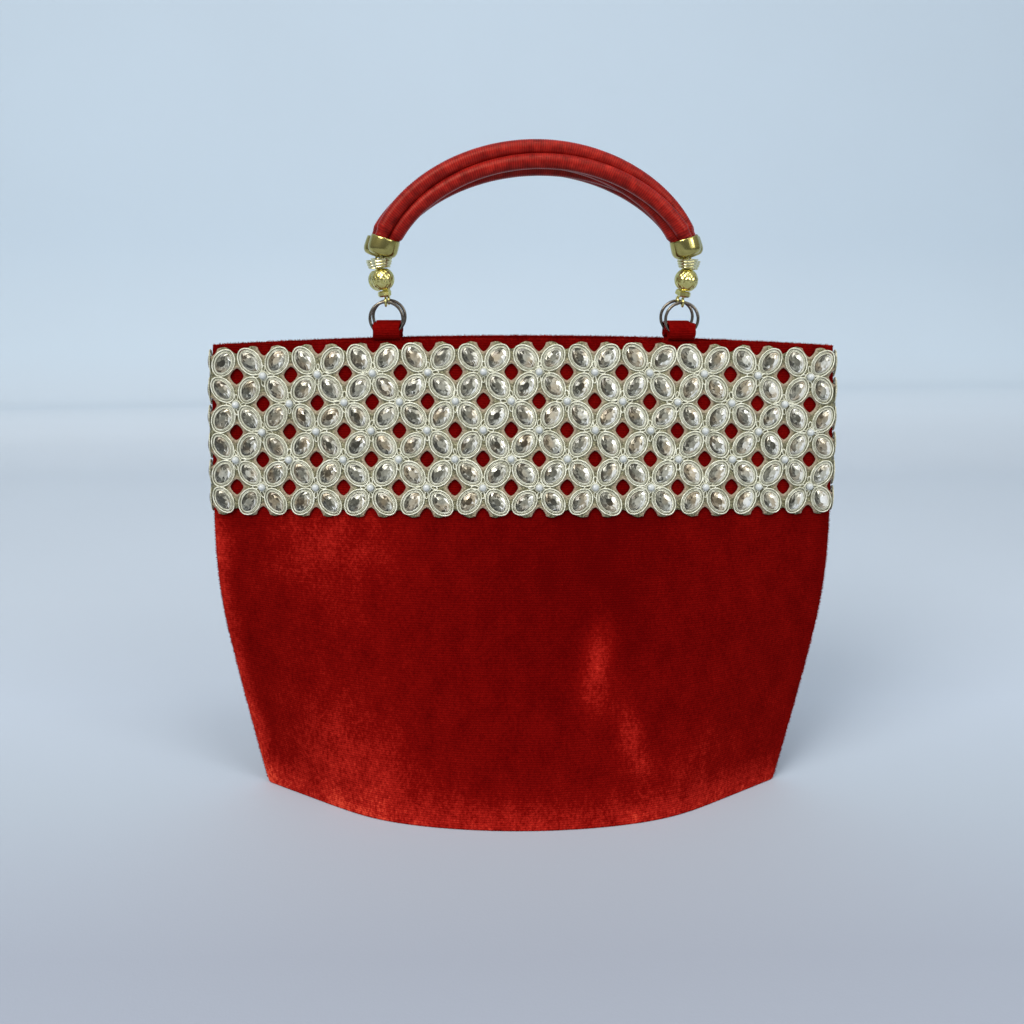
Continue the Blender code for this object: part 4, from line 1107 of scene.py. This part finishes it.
def make_tab(word, side, end_word, end):
    """Strip round the hole: from the hole's radius out to the wall, flattened at the foot."""
    sides, levels, sharpness = 28, 9, 0.30
    turn = full_turn(49)[:, None]
    across, through = rounded_box(0.5, 0.5, sharpness, sides)
    below = np.maximum(-np.sin(turn), 1e-6)
    outer = np.minimum(LOOP_HOLE + TAB_WALL, (LOOP_Z - TAB_FOOT) / below)
    reach = LOOP_HOLE + (outer - LOOP_HOLE) * (through + 0.5)
    across = across * TAB_WIDTH + 0.10 * MM * np.sin(5.0 * turn + 2.0)
    middle = HANDLE_SHIFT + end * TAB_X
    strip = xyz(across + middle, side * (HANDLE_PLANE + reach * np.cos(turn)),
                LOOP_Z + reach * np.sin(turn))
    share = (abs(middle) + TAB_WIDTH / 2.0) / half_width(TAB_FOOT)
    root_y = float(wall_y(share, TAB_FOOT)) - VELVET - TAB_GAP - TAB_ROOT / 2.0
    x, y = rounded_box(TAB_WIDTH / 2.0, TAB_ROOT / 2.0, sharpness, sides)
    level = np.linspace(TAB_FOOT - TAB_ROOT_DEPTH, TAB_FOOT + 0.2 * MM, levels)[:, None]
    root = xyz(x + middle, side * (root_y + y), level)
    round_strip = [grid_faces(*strip.shape[:2], close_rows=True, close_columns=True)]
    round_root = [grid_faces(levels, sides, close_columns=True), *end_caps(sides, (levels - 1) * sides)]
    points, groups = join_parts((strip.reshape(-1, 3), round_strip), (root.reshape(-1, 3), round_root))
    # The loop carries one fixed level of painted sheen.
    return make_piece(f"{word}_{end_word}_loop", points, groups, velvet, "bag",
                      [f"{word}_{end_word}_tab"], keep_turn=True,
                      values={"nap": np.full(len(points), 0.2)})


def tube(path, sideways, radius, sides, close=False, cap=False):
    """Tube: path + radius * (cos roll * first + sin roll * second), both square to the path."""
    if close:
        along = unit(np.roll(path, -1, axis=0) - np.roll(path, 1, axis=0))
    else:
        along = unit(np.gradient(path, axis=0))
    first = unit(sideways - along * (along @ sideways)[:, None])
    second = np.cross(along, first)
    roll = full_turn(sides)[None, :, None]
    radius = np.broadcast_to(radius, (len(path), sides))[..., None]
    points = path[:, None] + radius * (np.cos(roll) * first[:, None] + np.sin(roll) * second[:, None])
    groups = [grid_faces(len(path), sides, close_rows=close, close_columns=True)]
    uv = tube_uv(np.concatenate([path, path[:1]]) if close else path, sides)
    if cap:
        groups += end_caps(sides, (len(path) - 1) * sides)
        uv = np.concatenate([uv, np.zeros((2 * sides, 2))])
    return points.reshape(-1, 3), groups, uv


def circle(centre, first, second, radius, steps):
    """Centre + radius * (cosine * first + sine * second)."""
    turn = full_turn(steps)[:, None]
    return centre + radius * (np.cos(turn) * first + np.sin(turn) * second)


def make_ring(word, side, end_word, end):
    centre = np.array([HANDLE_SHIFT + end * TAB_X, side * HANDLE_PLANE, RING_FOOT + RING_RADIUS])
    points, groups, _ = tube(circle(centre, X, Z, RING_RADIUS, 72), Y, RING_WIRE, 14, close=True)
    return make_piece(f"{word}_{end_word}_wire_ring", points, groups, dark_bronze,
                      f"{word}_{end_word}_ring", [f"{word}_{end_word}_jump_ring"])


for word, side in SIDES.items():
    for end_word, end in ENDS.items():
        make_tab(word, side, end_word, end)
        make_ring(word, side, end_word, end)

# %% [markdown]
# ## Handles
# A handle end climbs from its wire eye through three beads into a brass cap, leaning out
# a little at the foot. From cap to cap run three strands, each wound with satin thread, that
# turn slowly round each other. All of it hangs on the line through the two eyes.

# %% Places along a handle end and along its arch
EYE_RADIUS, PIN_RADIUS, EYE_NECK = 1.6 * MM, 0.5 * MM, 2.3 * MM
BEAD_GAP, BORE = 0.45 * MM, 1.0 * MM
SMALL_RADIUS, SMALL_HEIGHT = 2.8 * MM, 2.4 * MM
BALL_RADIUS, BALL_HEIGHT = 4.9 * MM, 8.7 * MM
RIDGED_NECK, RIDGED_HEIGHT = 3.4 * MM, 3.8 * MM
CAP_HEIGHT, CAP_WALL, CAP_FLOOR, CAP_SHOULDER = 7.4 * MM, 0.5 * MM, 1.0 * MM, 0.45
STRAND_RADIUS, STRAND_SWELL, STRAND_FREE, STRAND_FLARE = 2.4 * MM, 0.4 * MM, 0.6 * MM, 2.4 * MM
STRAND_TURN, STRAND_START = math.radians(110.0), math.radians(20.0)
ARCH_FULLNESS = 1.26
HANDLES = {"front": (-1, 39.7 * MM, math.radians(9.0)), "back": (1, 38.5 * MM, math.radians(32.0))}
CHAIN = EYE_NECK + SMALL_HEIGHT + BALL_HEIGHT + RIDGED_HEIGHT + 2.0 * BEAD_GAP
BUNDLE = (2.0 * STRAND_RADIUS + TAB_GAP) / (2.0 * math.sin(math.pi / 3.0))
CAP_INNER = BUNDLE + STRAND_RADIUS + 0.42 * MM
CAP_RADIUS = CAP_INNER + CAP_WALL


def chain_point(lean, length):
    """Way out, way up and tilt on the end's arc, where the tilt fades evenly to none."""
    tilt = lean * (1.0 - length / CHAIN)
    curve = -lean / CHAIN
    return (math.cos(lean) - math.cos(tilt)) / curve, (math.sin(tilt) - math.sin(lean)) / curve, tilt


def arch(rise, half_span, foot, turn):
    """Arch: minus cosine across, and sine to a power up."""
    up = foot + rise * np.maximum(np.sin(turn), 0.0) ** ARCH_FULLNESS
    return xyz(-half_span * np.cos(turn), 0.0, up)


def arch_foot(word):
    """Half span, foot height and cap tilt of a handle."""
    rise, lean = HANDLES[word][1:]
    out, up = chain_point(lean, CHAIN)[:2]
    half_span = TAB_X + out
    turn = (CAP_HEIGHT / rise) ** (1.0 / ARCH_FULLNESS)
    tilt = math.atan2(half_span * (1.0 - math.cos(turn)), CAP_HEIGHT)
    return half_span, up + TAB_GAP + RIDGED_NECK * math.sin(tilt), tilt


def stand(points, origin, axis):
    """Put a turned shape's own height along an axis, and keep its second direction along Y."""
    axis = unit(axis)
    first = unit(np.cross(Y, axis))
    return origin + points @ np.stack([first, np.cross(axis, first), axis])


def lathe(profile, segments, cuts=None):
    """Turn a closed profile of radius and height about its axis; cuts may press the radius."""
    radius, height = np.asarray(profile).T[..., None]
    turn = full_turn(segments)
    if cuts is not None:
        radius = np.where(radius > 1.05 * BORE, radius * cuts(turn, height), radius)
    points = xyz(radius * np.cos(turn), radius * np.sin(turn), height)
    faces = grid_faces(len(height), segments, close_rows=True, close_columns=True)
    return points.reshape(-1, 3), [faces]


# %% Bead shapes
def small_profile():
    """Short drum with bevelled edges."""
    bevel = 0.5 * MM
    inner, top = SMALL_RADIUS - bevel, SMALL_HEIGHT
    return [(BORE, 0.0), (inner, 0.0), (SMALL_RADIUS, bevel), (SMALL_RADIUS, top - bevel),
            (inner, top), (BORE, top)]


def flats(turn, count):
    """Reach of a regular polygon with this many sides: cosine of the half side over the angle's."""
    half = math.pi / count
    return math.cos(half) / np.cos(np.mod(turn, 2.0 * half) - half)


def small_cuts(turn, height):
    """Eight flats round the bead."""
    return flats(turn, 8) + 0.0 * height


def bored(radius, height):
    """A profile closed by flat ends that run in to the bore."""
    return np.stack([np.concatenate([[BORE], radius, [BORE]]),
                     np.concatenate([height[:1], height, height[-1:]])], axis=-1)


def ball_profile():
    """Circle between the two flat ends."""
    reach = math.asin(BALL_HEIGHT / 2.0 / BALL_RADIUS)
    turn = np.linspace(-reach, reach, 41)
    return bored(BALL_RADIUS * np.cos(turn), BALL_HEIGHT / 2.0 + BALL_RADIUS * np.sin(turn))


def ball_cuts(turn, height):
    """Crossed slanting grooves: the deeper of two sine waves that run opposite ways."""
    level = (height / BALL_HEIGHT - 0.5) * 7.0
    first = np.abs(np.sin(5.0 * turn + level))
    second = np.abs(np.sin(5.0 * turn - level))
    return 1.0 - 0.055 * spread(np.minimum(first, second), 0.0, 0.30)


def ridged_profile():
    """Cup that widens by a sine towards the cap, and draws in at its lip."""
    share = np.linspace(0.0, 1.0, 33)
    lip = 0.5 * MM * np.clip(share - 0.86, 0.0, 1.0)
    return bored(3.60 * MM + 1.05 * MM * np.sin(share * 0.5 * math.pi) - lip, share * RIDGED_HEIGHT)


def ridged_cuts(turn, height):
    """Fine ridges that zigzag six times round a soft hexagon."""
    level = height / RIDGED_HEIGHT + 0.07 * np.abs(np.mod(3.0 * turn / math.pi, 2.0) - 1.0)
    ridge = 1.0 - 0.075 * np.abs(np.cos(3.5 * math.pi * level))
    return ridge * (0.5 + 0.5 * flats(turn, 6))


def cap_profile():
    """Barrel cup: rounded floor, widest below its middle, a plain mouth, hollow inside."""
    turn = np.linspace(0.0, math.pi / 2.0, 11)
    floor_radius, waist = 0.66 * CAP_RADIUS, 0.40 * CAP_HEIGHT
    outer = [(BORE, 0.0)] + [(floor_radius + (CAP_RADIUS - floor_radius) * math.sin(t),
                              waist * (1.0 - math.cos(t))) for t in turn]
    rise = CAP_HEIGHT - 0.2 * MM - waist
    upper = [(CAP_RADIUS - 0.03 * CAP_RADIUS * part ** 2, waist + rise * part)
             for part in np.linspace(0.125, 1.0, 8)]
    lip = [(CAP_INNER + 0.12 * MM, CAP_HEIGHT), (CAP_INNER, CAP_HEIGHT - 0.12 * MM)]
    inner = [(CAP_INNER, CAP_SHOULDER * CAP_HEIGHT), (0.75 * CAP_INNER, CAP_FLOOR), (BORE, CAP_FLOOR)]
    return outer + upper + lip + inner


BEADS = (("small_bead", SMALL_HEIGHT, small_profile(), small_cuts, 40, gold, "gold"),
         ("ball_bead", BALL_HEIGHT, ball_profile(), ball_cuts, 80, gold, "gold"),
         ("ridged_bead", RIDGED_HEIGHT, ridged_profile(), ridged_cuts, 96, pale_gold, "pale_gold"))
print("beads on each end:", ", ".join(bead[0] for bead in BEADS))


# %% Ends of the handles
def make_end(word, end_word, end):
    side, rise, lean = HANDLES[word]
    body = f"{word}_handle"
    base = np.array([HANDLE_SHIFT, side * HANDLE_PLANE, EYE_Z])
    length = EYE_NECK
    for piece, height, profile, cuts, segments, finish, slot in BEADS:
        out, up, tilt = chain_point(lean, length + height / 2.0)
        points, groups = lathe(profile, segments, cuts)
        points = points - (0.0, 0.0, height / 2.0)
        axis = np.array([end * math.sin(tilt), 0.0, math.cos(tilt)])
        points = stand(points, base + (end * (TAB_X + out), 0.0, up), axis)
        make_piece(f"{word}_{end_word}_{piece}_cut", points, groups, finish, body,
                   [f"{word}_{end_word}_{piece}"], smooth=piece == "ball_bead")
        length += height + BEAD_GAP
    half_span, foot, tilt = arch_foot(word)
    points, groups = lathe(cap_profile(), 56)
    axis = np.array([-end * math.sin(tilt), 0.0, math.cos(tilt)])
    points = stand(points, base + (end * half_span, 0.0, foot), axis)
    make_piece(f"{word}_{end_word}_barrel_cap", points, groups, brass, body,
               [f"{word}_{end_word}_end_cap"])
    make_eye(word, end_word, end, base, lean, foot)


def make_eye(word, end_word, end, base, lean, foot):
    """Wire eye round the ring, and its shank up the bore to the cap's floor."""
    centre = base + (end * TAB_X, 0.0, 0.0)
    loop = tube(circle(centre, Y, Z, EYE_RADIUS, 40), X, PIN_RADIUS, 12, close=True)
    top = CHAIN + foot - chain_point(lean, CHAIN)[1] + CAP_FLOOR + 2.0 * PIN_RADIUS
    path = [centre + (0.0, 0.0, EYE_RADIUS)]
    for length in np.linspace(EYE_NECK, top, 12):
        out, up = chain_point(lean, min(length, CHAIN))[:2]
        path.append(base + (end * (TAB_X + out), 0.0, up + max(length - CHAIN, 0.0)))
    shank = tube(np.array(path), Y, PIN_RADIUS, 12, cap=True)
    points, groups = join_parts(loop[:2], shank[:2])
    make_piece(f"{word}_{end_word}_wire_eye", points, groups, gold, f"{word}_handle",
               [f"{word}_{end_word}_eye_pin"], keep_turn=True)


for word in HANDLES:
    for end_word, end in ENDS.items():
        make_end(word, end_word, end)


# %% Strands
STRAND_STEPS, STRAND_SIDES, WRAP_DEPTH, STRAND_PRESS = 900, 12, 0.03 * MM, 0.34 * MM


def make_strand(word, number):
    """One strand: the arch plus a circle round it that turns slowly from end to end."""
    side, rise, _ = HANDLES[word]
    half_span, foot = arch_foot(word)[:2]
    first = ((CAP_SHOULDER * CAP_HEIGHT + TAB_GAP) / rise) ** (1.0 / ARCH_FULLNESS)
    turn = np.linspace(first, math.pi - first, STRAND_STEPS)
    centre = arch(rise, half_span, foot, turn)
    step = 0.01
    along = arch(rise, half_span, foot, turn + step) - arch(rise, half_span, foot, turn - step)
    upward = np.cross(Y, unit(along))
    opened = np.clip((centre[:, 2] - foot - CAP_HEIGHT - STRAND_FREE) / STRAND_FLARE, 0.0, 1.0)
    opened = opened * opened * (3.0 - 2.0 * opened)
    radius = (BUNDLE + opened * STRAND_SWELL / math.sin(math.pi / 3.0))[:, None]
    roll = STRAND_START + TURN * number / 3.0 + STRAND_TURN * (turn / math.pi - 0.5)
    roll = roll[:, None]
    path = centre + radius * (np.cos(roll) * Y + np.sin(roll) * upward)
    path = path + (HANDLE_SHIFT, side * HANDLE_PLANE, EYE_Z)
    run = np.linalg.norm(np.diff(path, axis=0, prepend=path[:1]), axis=1).cumsum()[:, None]
    wrap = np.sin(TURN * (run / WRAP_PITCH + np.arange(STRAND_SIDES) / STRAND_SIDES))
    thick = STRAND_RADIUS + STRAND_PRESS + opened[:, None] * STRAND_SWELL + WRAP_DEPTH * wrap
    points, groups, uv = tube(path, Y, thick, STRAND_SIDES, cap=True)
    make_piece(f"{word}_wrapped_strand_{number + 1}", points, groups, wrap_finish,
               f"{word}_handle", [f"{word}_strand_{number + 1}"], uv=uv)


for word in HANDLES:
    for number in range(3):
        make_strand(word, number)

# %% [markdown]
# ## Magnetic snap
# Inside the mouth sit the two plated discs of a magnetic snap, turned as rounded profiles.

# %% Snap discs
def make_snap(name, side, stud, solid):
    z = MOUTH_HEIGHT - 18.0 * MM
    inset = VELVET + 0.7 * MM + LINING + TAB_GAP
    slope = (MOUTH_HALF_DEPTH - BASE_HALF_DEPTH) / MOUTH_HEIGHT
    inward = unit(np.array([0.0, -side, slope]))
    depth = BASE_HALF_DEPTH + slope * z - inset
    origin = np.array([0.0, side * depth, z]) + inward * TAB_GAP
    turn = np.linspace(0.0, math.pi / 2.0, 7)
    edge = [(6.3 * MM + 0.7 * MM * math.cos(t), 1.4 * MM + 0.6 * MM * math.sin(t)) for t in turn]
    step, rise = (2.5, 3.2) if stud else (2.8, 0.8)
    face = np.array([(5.2, 2.0), (5.0, 1.85), (4.4, 1.85), (4.2, 2.0), (step, 2.0), (step, rise),
                     (0.8, rise)]) * MM
    profile = [(0.8 * MM, 0.0), (7.0 * MM, 0.0), *edge, *face]
    points, groups = lathe(profile, 48)
    return make_piece(name, stand(points, origin, inward), groups, steel, "bag", [solid])


make_snap("snap_cup", -1, False, "snap_socket")
make_snap("snap_button", 1, True, "snap_stud")

# %% [markdown]
# ## Floor, light and camera
# The bag stands on a pale cloth that runs up into a backdrop. A large soft lamp from the upper
# left and a pale world give gentle shade. The camera looks slightly down from the front, and
# its place and turn are written as numbers, so the picture is framed as in the photograph.

# %% Pale sweep
def make_sweep():
    """Floor that bends up into a wall on a quarter circle, with one low fold across it."""
    run = np.linspace(0.0, 1.0, 400)
    front, back, radius, top = -1.6, 0.93, 0.25, 2.2
    flat = back - radius - front
    arc = radius * math.pi / 2.0
    way = run * (flat + arc + top)
    angle = np.clip((way - flat) / radius, 0.0, math.pi / 2.0)
    y = np.where(way < flat, front + way, back - radius + radius * np.sin(angle))
    z = np.where(way < flat, 0.0, radius * (1.0 - np.cos(angle)) + np.clip(way - flat - arc, 0.0, None))
    x = np.linspace(-2.2, 2.2, 120)[None, :]
    fold = 0.012 * spread(way[:, None], flat + 0.155 + 0.02 * np.sin(2.0 * x), 0.022)
    points = xyz(x, y[:, None] - 0.4 * fold, z[:, None] + fold)
    mesh = bpy.data.meshes.new("pale_sweep")
    mesh.from_pydata(points.reshape(-1, 3).tolist(), [], grid_faces(len(run), x.size).tolist())
    mesh.shade_smooth()
    finish = Finish("pale_cloth", Roughness=0.85)
    cloud = finish.noise(260.0)
    weave = finish.noise(1.2)
    # Painted shade: the floor is coloured darker towards the camera and lighter further back.
    away = ((finish.axis("Y") + 130.0) / 730.0).clamp()
    floor = finish.ramp(away, (0.0, (0.345, 0.385, 0.46)), (0.15, (0.44, 0.50, 0.57)),
                        (0.30, (0.53, 0.60, 0.69)), (0.53, (0.59, 0.66, 0.74)),
                        (1.0, (0.63, 0.70, 0.775)))
    # Painted light: the part that rises into the backdrop is coloured lighter than the floor.
    upright = (finish.axis("Z") / 110.0).clamp()
    colour = finish.mix(upright, floor, (0.655, 0.775, 0.875))
    colour = finish.mix(cloud * 0.12, colour, (0.36, 0.38, 0.42))
    mesh.materials.append(finish.wear(colour, height=weave, depth=0.05))
    sweep = bpy.data.objects.new("pale_sweep", mesh)
    bpy.context.scene.collection.objects.link(sweep)
    print("floor and backdrop:", sweep.name, len(mesh.vertices), "points")


make_sweep()


# %% Lamps and world
AIM = Vector((0.0, 0.0, 0.12))
WHITE, SKY_STRENGTH = (1.0, 1.0, 1.0), 0.62


def add_lamp(name, place, size, power, colour=WHITE):
    """Square area lamp that faces the middle of the bag."""
    lamp = bpy.data.lights.new(name, "AREA")
    lamp.size, lamp.energy, lamp.color = size, power, colour
    item = bpy.data.objects.new(name, lamp)
    turn = (AIM - Vector(place)).to_track_quat("-Z", "Y")
    item.matrix_world = Matrix.Translation(place) @ turn.to_matrix().to_4x4()
    bpy.context.scene.collection.objects.link(item)


def make_world():
    """Sky that brightens towards the zenith, so metal and stones have something to mirror."""
    world = bpy.data.worlds.new("pale_world")
    world.use_nodes = True
    sky = Nodes(world.node_tree)
    way = sky.node("ShaderNodeTexCoord", out="Generated")
    height = sky.node("ShaderNodeSeparateXYZ", {}, [way], "Z")
    shade = sky.ramp(height, (0.0, (0.28, 0.30, 0.34)), (0.9, WHITE))
    background = sky.tree.nodes["Background"]
    sky.tree.links.new(shade.output, background.inputs["Color"])
    background.inputs["Strength"].default_value = SKY_STRENGTH
    return world


add_lamp("key", (-0.75, -1.10, 1.35), 0.9, 19.5, (1.0, 0.98, 0.95))
add_lamp("fill", (0.95, -1.0, 0.85), 1.1, 5.0, (0.94, 0.97, 1.0))
add_lamp("left glint", (-0.45, -0.85, 0.75), 0.22, 1.3)
add_lamp("right glint", (0.75, -0.60, 0.55), 0.22, 1.3)
add_lamp("top glint", (0.10, -0.35, 1.10), 0.22, 1.3)
bpy.context.scene.world = make_world()
bpy.context.scene.view_settings.view_transform = "Standard"


# %% Camera
def add_camera(place, lens, *angles):
    """Look along a direction given by yaw and pitch in degrees, then turn about it by roll."""
    yaw, pitch, roll = np.radians(angles)
    level = math.cos(pitch)
    ahead = np.array([math.sin(yaw) * level, math.cos(yaw) * level, -math.sin(pitch)])
    right = np.array([math.cos(yaw), -math.sin(yaw), 0.0])
    up = np.cross(right, ahead)
    turned_right = math.cos(roll) * right + math.sin(roll) * up
    turned_up = -math.sin(roll) * right + math.cos(roll) * up
    turn = np.stack([turned_right, turned_up, -ahead], axis=1)
    camera = bpy.data.objects.new("camera", bpy.data.cameras.new("camera"))
    camera.data.sensor_width, camera.data.lens = 36.0, lens
    camera.data.clip_start, camera.data.clip_end = 0.01, 20.0
    camera.matrix_world = Matrix.Translation(place) @ Matrix(turn.tolist()).to_4x4()
    bpy.context.scene.collection.objects.link(camera)
    bpy.context.scene.camera = camera
    return camera


camera = add_camera((-0.0137, -0.4597, 0.2532), 36.9, 1.06, 14.6, 0.17)
print("camera at mm:", [round(value / MM, 1) for value in camera.location])
